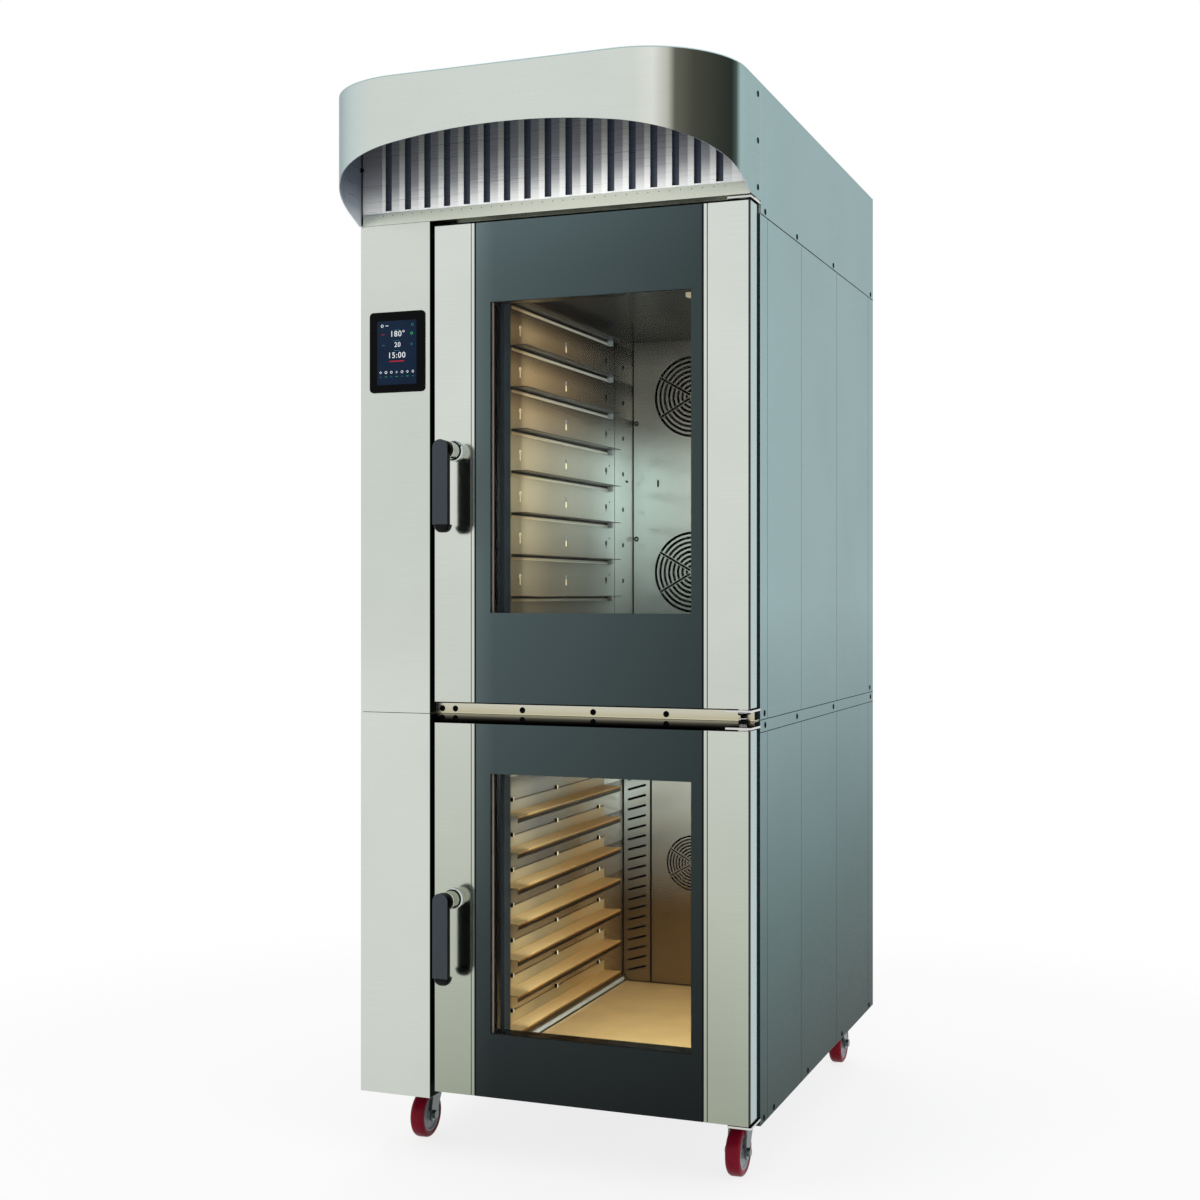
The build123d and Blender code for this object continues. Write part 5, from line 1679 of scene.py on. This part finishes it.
        # Shares of the screen's width and height, then sizes in millimetres.
        for n, sides in enumerate(self.sides):
            across = 0.09 + 0.82 * n / (len(self.sides) - 1)
            ring(across, 0.195, 3.0, DIGIT_WHITE, sides)
            bar(across, 0.125, 5.0, 0.9, DIGIT_GREEN if n % 2 else DIGIT_TEAL)
        ring(0.13, 0.925, 3.4, DIGIT_WHITE, 6)
        bar(0.25, 0.925, 7.0, 1.4, DIGIT_WHITE)
        ring(0.9, 0.925, 3.0, DIGIT_TEAL, 24)
        bar(0.15, 0.79, 7.0, 1.2, DIGIT_RED)
        ring(0.88, 0.79, 3.2, DIGIT_GREEN, 5)
        bar(0.16, 0.62, 7.0, 1.2, DIGIT_TEAL)
        ring(0.88, 0.62, 3.0, DIGIT_TEAL, 4)
        bar(0.5, 0.365, 34.0, 2.2, DIGIT_RED)
        for up in (0.855, 0.685, 0.53):
            bar(0.5, up, 14.0, 0.8, DIGIT_TEAL)
        shape.place("display_symbols", "cabinet", "screen")


@dataclass
class Door:
    """One glass door: brushed stiles, printed outer pane, inner pane and their seals."""

    unit: Unit
    seal_gap: float = 0.6
    seal_width: float = 2.6
    seal_proud: float = 0.2
    seal_depth: float = 2.0
    end: float = 0.4
    groove_start: float = 6.0
    groove_end: float = 8.0
    groove_foot: float = 0.25
    groove_depth: float = 1.2
    groove_stop: float = 0.6
    band_width: float = 0.6
    band_depth: float = 14.5
    cap_height: float = 3.4
    cap_proud: float = 0.12
    lip: float = 4.0
    lip_depths: Pair = (7.5, 10.0)
    bar_width: float = 10.0
    bar_depths: Pair = (12.0, 6.0)

    def build(self) -> None:
        """Dresses the door and adds its seals and edge bands."""
        name = self.unit.value
        dress(f"{name}_door_frame", FRONT_STEEL, 0)
        dress(f"{name}_door_glass", self.glass(), 0)
        dress(f"{name}_door_border", INK, 0)
        self.seals()

    def glass(self) -> DoorGlass:
        """Gives the finish of this door's panes, with the window where the border leaves it."""
        name = self.unit.value
        window = opening(f"{name}_door_border")
        return DoorGlass(f"float_glass_toughened_{name}", "#49585A", opening=window)

    def seals(self) -> None:
        """Adds the black lines beside the glass, the grooves, the bands on the edges and the window's lip, with
        painted shade in the grooves, along the oven door's top and behind the lip.
        """
        name = self.unit.value
        low, high = span(f"{name}_door_frame")
        glass_low, glass_high = span(f"{name}_door_glass")
        left, _, bottom, top = opening(f"{name}_door_border")
        foot, head = low.z + self.end, high.z - self.end
        shape = Shape()
        for edge, side in ((glass_low.x, -1), (glass_high.x, 1)):
            first, last = sorted(edge - side * gap for gap in (self.seal_gap, self.seal_gap + self.seal_width))
            start = (first, low.y - self.seal_proud, foot)
            shape.box(start, (last, low.y + self.seal_depth, head), SEAL_RUBBER, 0.1)
            # Grooves, filled near black as painted shade.
            first, last = sorted(edge + side * place for place in (self.groove_start, self.groove_end))
            start = (first, low.y + self.groove_foot, low.z + self.groove_stop)
            shape.box(start, (last, low.y + self.groove_depth, high.z - self.groove_stop), SCREW_AND_GROOVE_BLACK, 0)
        for x in (low.x - 0.5, high.x - 0.1):
            start = (x, low.y + self.seal_proud, foot)
            shape.box(start, (x + self.band_width, low.y + self.band_depth, head), SEAL_RUBBER, 0.1)
        # A black strip of painted shade along the oven door's top.
        if self.unit is Unit.OVEN:
            start = (low.x, low.y - self.cap_proud, high.z - self.cap_height)
            shape.box(start, (high.x, low.y + 0.4, high.z + 0.1), JOINT_BLACK_AND_PAINTED_SHADE, 0)
        front, back = (glass_low.y + depth for depth in self.lip_depths)
        shape.box((left, front, bottom), (left + self.lip, back, top), LIP_STEEL, 0.3)
        # A bar of painted shade behind the window's lip.
        front, back = (high.y - depth for depth in self.bar_depths)
        shape.box((left + 1.0, front, bottom), (left + self.bar_width, back, top), THROAT_PAINTED_SHADE, 0.3)
        shape.place(f"{name}_door_seals", f"{name}_door", "seal_rubber")


@dataclass
class Handle:
    """Lever handle: black grip with a grey inlay on a turned boss, with its latch cam behind the door."""

    unit: Unit
    thickness: float = 16.0
    plate: float = 1.6
    bar_half: float = 17.0
    bar_shift: float = -1.4
    foot_height: float = 16.0
    foot_reach: float = 30.0
    foot_corner: float = 9.0
    foot_share: float = 0.35
    foot_steps: int = 8
    hub_length: float = 10.0
    hub_drop: float = 20.0
    shaft_radius: float = 8.0
    boss_radius: float = 18.0
    ring_radius: float = 21.5
    ring_length: float = 8.0
    groove: float = 1.2
    cam_inset: float = 9.5
    cam_rise: float = 12.0
    cam_depth: float = 6.0
    cam_corner: float = 6.0

    def build(self) -> None:
        """Builds the grip and the latch."""
        name = self.unit.value
        low, high = span(f"{name}_grip")
        middle = (low.x + high.x) / 2
        half = (high.x - low.x) / 2
        self.grip(name, low, high, middle + self.bar_shift, half)
        self.latch(name, middle, low)

    def grip(self, name: str, low: Vector, high: Vector, middle: float, half: float) -> None:
        """Builds the grip: a slate plate on a black bar, with a round hub above and a bowl for its foot.

        Args:
            name: Name of the unit.
            low: Lowest corner of the grip.
            high: Highest corner of the grip.
            middle: Middle of the bar across the door.
            half: Radius of the hub.
        """
        bar = self.bar_half
        plate_end = low.y + self.plate
        bar_end = low.y + self.thickness
        foot_top = low.z + self.foot_height
        hub_z = high.z - self.hub_drop
        arc = [math.radians(a) for a in range(0, 181, 10)]

        def bar_outline(inset: float, base: float) -> Outline:
            """Draws the bar with its round top and square foot.

            Args:
                inset: How far its outline is drawn in.
                base: Height of its foot.

            Returns:
                The outline.
            """
            reach = bar - inset
            centre = high.z - bar
            outline = [(middle + reach * math.cos(a), centre + reach * math.sin(a)) for a in arc]
            return outline + [(middle - reach, base + inset), (middle + reach, base + inset)]

        shape = Shape()
        shape.prism(Face.FRONT, bar_outline(0.0, foot_top), low.y, plate_end, GRIP_PLATE, 0.6, 2)
        shape.prism(Face.FRONT, bar_outline(0.5, foot_top - 1.0), plate_end, bar_end, GRIP_NYLON, 1.6, 3)
        hub = [
            (0, bar_end - 6),
            (half - 0.6, bar_end - 6),
            (half, bar_end - 4),
            (half, bar_end + self.hub_length - 2.5),
            (half - 2, bar_end + self.hub_length),
            (0, bar_end + self.hub_length),
        ]
        shape.lathe(Face.FRONT, (middle - self.bar_shift, 0, hub_z), hub, GRIP_NYLON, steps=64)
        sections = []
        for n in range(self.foot_steps + 1):
            turn = math.radians(90 * n / self.foot_steps)
            share = self.foot_share + (1 - self.foot_share) * math.cos(turn)
            centre_y = low.y + self.foot_reach / 2 + 1.0 * math.sin(turn)
            reach_x = (bar - 0.3) * share
            reach_y = self.foot_reach / 2 * share
            z = foot_top - (foot_top - low.z) * math.sin(turn)
            corner = min(self.foot_corner, reach_x, reach_y) * 0.98
            first = (middle - reach_x, centre_y - reach_y)
            outline = rounded(first, (middle + reach_x, centre_y + reach_y), corner, 5)
            sections.append([Vector((x, y, z)) for x, y in outline])
        shape.loft(sections, GRIP_NYLON)
        shape.place(f"{name}_grip_bar", f"{name}_handle", "grip_plastic", (f"{name}_grip",))

    def latch(self, name: str, middle: float, low: Vector) -> None:
        """Builds the turned boss, its ring, the shaft and the cam behind the door.

        Args:
            name: Name of the unit.
            middle: Middle of the shaft across the door.
            low: Lowest corner of the grip.
        """
        latch_low, latch_high = span(f"{name}_latch")
        door_low, _ = span(f"{name}_door_frame")
        height = latch_high.z - self.ring_radius
        end = door_low.y - 0.2
        start = low.y + self.thickness + self.hub_length
        seat = end - self.ring_length
        radius = self.boss_radius
        boss = [
            (0, start + 0.3),
            (radius - 1.2, start + 0.3),
            (radius, start + 1.5),
            (radius, seat - 4.0),
            (radius - self.groove, seat - 3.4),
            (radius - self.groove, seat - 1.4),
            (radius, seat - 0.8),
            (radius, end - 1.0),
            (0, end - 1.0),
        ]
        shape = Shape()
        shape.lathe(Face.FRONT, (middle, 0, height), boss, TURNED_STEEL, steps=64)
        ring = [
            (radius - 1.0, seat),
            (self.ring_radius - 2.0, seat),
            (self.ring_radius, seat + 2.4),
            (self.ring_radius, end - 0.6),
            (self.ring_radius - 0.6, end),
            (radius - 1.0, end),
        ]
        shape.lathe(Face.FRONT, (middle, 0, height), ring, CHROME, steps=64)
        groove = (middle, seat - 2.6, height)
        shape.disc(Face.FRONT, groove, radius + 1.6, 2.6, JOINT_BLACK_AND_PAINTED_SHADE, 64, radius - 2.0)
        shaft = (middle, end - 2, height)
        shape.disc(Face.FRONT, shaft, self.shaft_radius, latch_high.y - end, TURNED_STEEL, 40)
        first = (latch_low.x + self.cam_inset, latch_low.z)
        cam = rounded(first, (latch_high.x - self.cam_inset, height + self.cam_rise), self.cam_corner)
        shape.prism(Face.FRONT, cam, latch_high.y - self.cam_depth, latch_high.y, CHROME, 0.8, 2)
        shape.place(f"{name}_latch_turned", f"{name}_handle", "chrome", (f"{name}_latch",))


@dataclass
class Hinges:
    """Hinge plates, their bolts and the keepers of the latches."""

    bolt_radius: float = 6.5
    washer_radius: float = 8.6
    head_radius: float = 9.5
    axis: Pair = (408.0, -434.0)

    def build(self) -> None:
        """Dresses the brackets, and stacks bolt heads, washers and spacers between the two middle plates."""
        dress("hinge_brackets", PLATE_STEEL, 0.3)
        dress("latch_keepers", CHROME, 0.6)
        dress("door_gaskets", SEAL_RUBBER, 2.5)
        plates = sorted((low.z, high.z) for low, high in islands("hinge_brackets"))
        lower, upper = plates[1][1], plates[2][0]
        middle = (lower + upper) / 2
        shape = Shape()
        # Radius, foot, top, finish and sides of each part on the hinges' axis.
        stack = (
            (self.head_radius, upper - 0.6, upper + 2.2, JOINT_BLACK_AND_PAINTED_SHADE, 40),
            (self.head_radius, upper + 2.8, upper + 4.7, SCREW_AND_GROOVE_BLACK, 40),
            (self.head_radius, lower - 4.7, lower - 2.4, SCREW_AND_GROOVE_BLACK, 40),
            (self.head_radius, lower - 1.4, lower + 0.4, JOINT_BLACK_AND_PAINTED_SHADE, 40),
            (self.washer_radius, upper - 1.6, upper, JOINT_BLACK_AND_PAINTED_SHADE, 40),
            (self.bolt_radius * 0.7, middle + 1.6, upper - 1.6, SCREW_AND_GROOVE_BLACK, 40),
            (self.washer_radius, middle + 1.4, middle + 2.8, CHROME, 40),
            (self.bolt_radius * 0.6, middle - 1.4, middle + 1.4, JOINT_BLACK_AND_PAINTED_SHADE, 40),
            (self.bolt_radius + 2.4, lower + 1.2, middle - 1.4, SCREW_AND_GROOVE_BLACK, 6),
            (self.washer_radius * 0.8, lower, lower + 1.2, CHROME, 40),
        )
        for radius, foot, top, finish, sides in stack:
            shape.disc(Face.FLOOR, (*self.axis, foot), radius, top - foot, finish, sides, edge=0.3)
        shape.place("hinge_bolt_stack", "cabinet", "chrome")


@dataclass
class Band:
    """Folded strips between the doors."""

    def build(self) -> None:
        """Dresses the strips."""
        dress("mid_band", BAND_STEEL, 0.4)


@dataclass
class Chamber:
    """What both chambers have: lining, fan wall, tray rails, spokes of the grilles and two lamps."""

    name: str
    lining: ChamberSteel
    rail_steel: RailSteel
    fans: tuple[str, ...]
    spoke_reach: float
    spoke_width: float
    warm: str
    side_power: float
    mouth_power: float
    spoke_start: float = 9.0
    spoke_turns: tuple[int, ...] = (30, 90, 150, 210, 270, 330)
    spoke_depths: Pair = (0.5, 0.05)
    wall_gap: float = 0.2
    lamp_share: float = 0.92
    side_lamp: Pair = (12.0, 40.0)
    mouth_lamp: Pair = (90.0, 50.0)
    mouth_aim: float = 426.0
    lamp_widths: Pair = (560.0, 380.0)

    def build(self) -> None:
        """Dresses the sheet metal, adds the walls' fittings and the spokes, and hangs the lamps."""
        dress(f"{self.name}_chamber", self.lining, 0)
        mirror = replace(self.lining, name=f"{self.lining.name}_mirror", metallic=0.6, roughness=0.16)
        dress(f"{self.name}_fan_baffle", mirror, 0)
        dress(f"{self.name}_tray_rails", self.rail_steel, 0.4)
        rails = [(low, high) for low, high in islands(f"{self.name}_tray_rails") if low.x + high.x < 0]
        rails.sort(key=lambda corners: corners[0].z)
        wall = min(low.x for low, _ in rails) - self.wall_gap
        shape = Shape()
        self.fittings(shape, rails, wall)
        shape.place(f"{self.name}_wall_fittings", "cabinet", "chamber_steel")
        self.grille_spokes()
        self.light()

    def fittings(self, shape: Shape, rails: list[Corners], wall: float) -> None:
        """Adds what hangs on the walls; each chamber has its own."""
        raise NotImplementedError

    def grille_spokes(self) -> None:
        """Lays dark slots along the spokes of each fan grille."""
        face = span(f"{self.name}_fan_baffle")[0].y
        front, back = (face - depth for depth in self.spoke_depths)
        shape = Shape()
        for fan in self.fans:
            low, high = span(fan)
            centre = Vector((low.x + high.x, low.z + high.z)) / 2
            for turn in self.spoke_turns:
                angle = math.radians(turn)
                along = Vector((math.cos(angle), math.sin(angle)))
                beside = Vector((-along.y, along.x)) * self.spoke_width / 2
                near, far = centre + along * self.spoke_start, centre + along * self.spoke_reach
                corners = [tuple(c) for c in (near + beside, far + beside, far - beside, near - beside)]
                shape.prism(Face.FRONT, corners, front, back, JOINT_BLACK_AND_PAINTED_SHADE, 0)
        shape.place(f"{self.name}_grille_spokes", "cabinet", "chamber_steel")

    def light(self) -> None:
        """Hangs a broad lamp at the hidden right wall and one at the mouth, both out of sight."""
        low, high = span(f"{self.name}_chamber")
        middle = (low.z + high.z) / 2
        tall = (high.z - low.z) * self.lamp_share
        wide, narrow = self.lamp_widths
        inset, depth = self.side_lamp
        place, aim = (high.x - inset, depth, middle), (low.x, depth, middle)
        Lamp(f"{self.name}_side_lamp", place, aim, wide, tall, self.side_power, self.warm).hang()
        across, inset = self.mouth_lamp
        place, aim = (across, low.y + inset, middle), (across, self.mouth_aim, middle)
        Lamp(f"{self.name}_mouth_lamp", place, aim, narrow, tall, self.mouth_power, "#F2F7F6").hang()


@dataclass
class OvenChamber(Chamber):
    """The upper chamber, with hooks, holes and clips on its wall."""

    name: str = "oven"
    lining: ChamberSteel = CHAMBER_STEEL
    rail_steel: RailSteel = OVEN_RAIL_STEEL
    fans: tuple[str, ...] = ("oven_fan_upper", "oven_fan_lower")
    spoke_reach: float = 102.0
    spoke_width: float = 5.0
    warm: str = "#FFF6EA"
    side_power: float = 3.0
    mouth_power: float = 3.2
    wall_lift: float = 0.8
    hook_places: Pair = (-289.0, -26.0)
    hook_drop: float = 54.0
    hook_half: float = 2.4
    hook_heights: Pair = (-11.0, 3.0)
    head_radius: float = 5.4
    hole_place: float = 234.0
    lowest_hook: float = 12.0
    clip_length: float = 16.0
    clip_reach: float = 11.0
    seam_place: float = 293.0

    def fittings(self, shape: Shape, rails: list[Corners], wall: float) -> None:
        """Adds hooks, holes and clips along the left wall, and the seams and screws of the walls.

        Args:
            shape: Shape to add to.
            rails: Corners of the left rails, from the lowest up.
            wall: Where the left wall lies.
        """
        low, high = span("oven_chamber")
        fan_low, _ = span("oven_fan_baffle")
        for rail_low, rail_high in rails:
            level = rail_high.z - self.hook_drop
            if level > low.z + self.lowest_hook:
                self.hooks(shape, wall, level)
                self.holes(shape, wall, level)
            start = (wall, rail_high.y, rail_low.z - 1)
            end = (wall + self.clip_reach, rail_high.y + self.clip_length, rail_high.z + 1)
            shape.box(start, end, CLIP_GREY, 0.8)
        for y, width in ((self.seam_place, 1.2), (fan_low.y - 2.0, 1.8)):
            shape.box((wall, y, low.z + 2), (wall + 0.5, y + width, high.z - 2), JOINT_BLACK_AND_PAINTED_SHADE, 0)
        for z in (low.z + 191, high.z - 207):
            shape.disc(Face.FRONT, (wall + 10, fan_low.y, z), 6.4, -0.6, JOINT_BLACK_AND_PAINTED_SHADE, 20, 2.2)
        slot = rounded((wall + 65.5, low.z + 322), (wall + 70.5, low.z + 340), 2.4, 3)
        shape.prism(Face.FRONT, slot, fan_low.y - 0.4, fan_low.y, JOINT_BLACK_AND_PAINTED_SHADE, 0)
        slot = rounded((372, low.z + 332), (392, low.z + 337), 2.4, 3)
        shape.prism(Face.SIDE, slot, wall, wall + 0.4, JOINT_BLACK_AND_PAINTED_SHADE, 0)

    def hooks(self, shape: Shape, wall: float, level: float) -> None:
        """Adds a hook at the front and one in the middle, each with its head and a dark eye; the bars and the
        front head are painted gold as lit.

        Args:
            shape: Shape to add to.
            wall: Where the left wall lies.
            level: Height of the hooks.
        """
        foot, top = (level + height for height in self.hook_heights)
        # The front head takes the painted light of the lamps, and the middle one stays plain grey.
        for y, finish in zip(self.hook_places, (CLIP_PAINTED_LIT, CLIP_GREY)):
            first, last = y - self.hook_half, y + self.hook_half
            bar = [(first, foot), (last, foot), (last, top), (first, top)]
            shape.prism(Face.SIDE, bar, wall, wall + self.wall_lift, CLIP_PAINTED_LIT, 0.3)
            shape.disc(Face.SIDE, (wall, y, level + 7), self.head_radius, self.wall_lift, finish)
            shape.disc(Face.SIDE, (wall, y + 1.5, level + 6), 1.6, 1.1, JOINT_BLACK_AND_PAINTED_SHADE, 10)

    def holes(self, shape: Shape, wall: float, level: float) -> None:
        """Adds the dark holes near the fan wall: a ring, two small ones and a wide one.

        Args:
            shape: Shape to add to.
            wall: Where the left wall lies.
            level: Height of the hooks.
        """
        y = self.hole_place
        shape.disc(Face.SIDE, (wall, y, level + 4), 6.2, 0.5, JOINT_BLACK_AND_PAINTED_SHADE, 20, 2.2)
        shape.disc(Face.SIDE, (wall, y, level - 5), 2.4, 0.4, JOINT_BLACK_AND_PAINTED_SHADE, 10)
        shape.disc(Face.SIDE, (wall, y + 22, level + 16), 2.4, 0.4, JOINT_BLACK_AND_PAINTED_SHADE, 10)
        shape.disc(Face.SIDE, (wall, y + 120, level + 2), 6.0, 0.3, SCREW_AND_GROOVE_BLACK, 20)


@dataclass
class ProoferChamber(Chamber):
    """The lower chamber, with its ledges' hooks, a cove along the floor and black seams."""

    name: str = "proofer"
    lining: ChamberSteel = PROOFER_STEEL
    rail_steel: RailSteel = PROOFER_RAIL_STEEL
    fans: tuple[str, ...] = ("proofer_fan",)
    spoke_reach: float = 70.0
    spoke_width: float = 3.0
    warm: str = "#FFEFD8"
    side_power: float = 4.4
    mouth_power: float = 3.4
    hook_shares: Point = (0.1, 0.5, 0.93)
    hook_rise: float = 8.0
    floor_lift: float = 1.5
    cove: Pair = (7.0, 11.0)
    strip: float = 2.6
    corner: float = 26.0
    corner_steps: int = 8
    seam_depths: Pair = (0.9, 0.1)
    seam_top: float = 3.0
    panel_seam: float = 73.0

    def fittings(self, shape: Shape, rails: list[Corners], wall: float) -> None:
        """Adds the ledges' hooks with a side painted gold as lit, the cove along the floor painted pale as a
        line of light, and the black seams of the fan wall.

        Args:
            shape: Shape to add to.
            rails: Corners of the left ledges, from the lowest up.
            wall: Where the left wall lies.
        """
        floor = span("proofer_chamber")[0].z + self.floor_lift
        fan_y = span("proofer_fan_baffle")[0].y
        for low, high in rails:
            foot, top = high.z - 1, high.z + self.hook_rise
            for share in self.hook_shares:
                y = low.y + share * (high.y - low.y)
                shape.box((wall, y - 2, foot), (wall + 5, y + 2, top), JOINT_BLACK_AND_PAINTED_SHADE, 0.6)
                # The hook's side, painted gold as lit by the lamps.
                shape.box((wall, y + 2.2, foot), (wall + 6, y + 4.5, top), CLIP_PAINTED_LIT, 0.6)
            shape.box((wall, low.y, high.z + 1), (wall + 0.5, high.y, high.z + 2.2), JOINT_BLACK_AND_PAINTED_SHADE, 0)
            shape.box((wall, low.y - 1.6, low.z), (wall + 0.6, low.y - 0.2, high.z + 1), JOINT_BLACK_AND_PAINTED_SHADE, 0)
        mouth = rails[0][0].y
        reach = wall + self.cove[0]
        # The cove, painted pale as a line of light, with a black line along its foot.
        shape.box((wall, mouth, floor), (reach, fan_y - 1, floor + self.cove[1]), COVE_STEEL, 4.5, 5)
        shape.box((reach, mouth, floor), (reach + 2.5, fan_y - 1, floor + 1.2), JOINT_BLACK_AND_PAINTED_SHADE, 0)
        self.seams(shape, floor)

    def seams(self, shape: Shape, floor: float) -> None:
        """Adds the black seam round the fan wall's corner, and the upright one beside its strip.

        Args:
            shape: Shape to add to.
            floor: Height of the floor.
        """
        fan_low, fan_high = span("proofer_fan_baffle")
        front, back = (fan_low.y - depth for depth in self.seam_depths)
        top = span("proofer_chamber")[1].z - self.seam_top
        left, foot = fan_low.x, floor + 1
        centre = (left + self.corner, foot + self.corner)
        turns = [math.radians(180 + 90 * n / self.corner_steps) for n in range(self.corner_steps + 1)]
        outer, inner = (
            [(centre[0] + radius * math.cos(a), centre[1] + radius * math.sin(a)) for a in turns]
            for radius in (self.corner, self.corner - self.strip)
        )
        seam = [(left, top)] + outer + [(fan_high.x, foot), (fan_high.x, foot + self.strip)]
        seam += inner[::-1] + [(left + self.strip, top)]
        shape.prism(Face.FRONT, seam, front, back, JOINT_BLACK_AND_PAINTED_SHADE, 0)
        split = left + self.panel_seam
        shape.box((split - 0.5, front, floor + 4), (split + 4.5, back, top), JOINT_BLACK_AND_PAINTED_SHADE, 0)


@dataclass
class Fans:
    """Impellers, motors, heating elements, ceiling lamps and the humidifier's tray."""

    def build(self) -> None:
        """Dresses the machinery."""
        for node in ("oven_fan_upper", "oven_fan_lower", "proofer_fan", "hood_fan"):
            dress(node, FAN_ALUMINIUM, 0)
        dress("fan_motors", MOTOR_PAINT, 0.5)
        dress("heating_elements", ELEMENT_STEEL, 0)
        dress("chamber_lamps", LAMP_GLASS, 1.5)
        dress("humidifier_tray", PROOFER_STEEL, 0.4)


@dataclass
class Caster:
    """One swivel caster: pressed fork and a red tread on a grey hub."""

    corner: str
    tread: float = 14.0
    shoulder: float = 9.0
    bore: float = 6.1
    boss: Pair = (11.0, 12.0)

    def build(self) -> None:
        """Dresses the fork and turns the wheel."""
        dress(f"caster_fork_{self.corner}", ZINC_STEEL, 0.8)
        wheel = f"caster_wheel_{self.corner}"
        low, high = span(wheel)
        middle = tuple((low + high) / 2)
        radius = (high.z - low.z) / 2
        half = (high.x - low.x) / 2
        hub = radius - self.tread
        # Radius, and distance in from the wheel's side.
        flank = ((hub, 1.5), (hub + 3, 0.4))
        web = ((self.bore, 1.0), (self.boss[0], 1.0), (self.boss[1], 4.0), (hub - 6, 5.0), (hub - 3, 2.0))
        web += ((hub + 0.1, 1.6),)
        crown = []
        for n in range(9):
            turn = math.radians(-90 + 22.5 * n)
            side = 1 if n > 4 else -1
            reach = radius - self.shoulder + self.shoulder * math.cos(turn)
            crown.append((reach, (half - self.shoulder) * side + self.shoulder * math.sin(turn)))
        shape = Shape()
        shape.lathe(Face.SIDE, middle, self.mirrored(flank, half, crown), TREAD_RED, steps=72)
        shape.lathe(Face.SIDE, middle, self.mirrored(web, half, []), HUB_GREY, steps=72)
        shape.place(f"caster_wheel_turned_{self.corner}", f"wheel_{self.corner}", "wheel_rubber", (wheel,))

    def mirrored(self, side: Profile, half: float, between: Outline) -> Outline:
        """Draws a wheel's profile from that of its left side.

        Args:
            side: Radius and distance in from the wheel's side, from the middle outwards.
            half: Half the width of the wheel.
            between: Points between the two sides.

        Returns:
            The profile from the left side to the right.
        """
        left = [(radius, inset - half) for radius, inset in side]
        return left + between + [(radius, half - inset) for radius, inset in side[::-1]]


def main() -> None:
    """Builds the studio and every sub-assembly in order."""
    logging.basicConfig(level=logging.INFO, format="%(message)s")
    Studio().build()
    Cabinet().build()
    Hood().build()
    ControlColumn().build()
    for unit, chamber in ((Unit.OVEN, OvenChamber()), (Unit.PROOFER, ProoferChamber())):
        Door(unit).build()
        Handle(unit).build()
        chamber.build()
    Hinges().build()
    Band().build()
    Fans().build()
    for corner in ("front_left", "front_right", "rear_left", "rear_right"):
        Caster(corner).build()


if __name__ == "__main__":
    main()
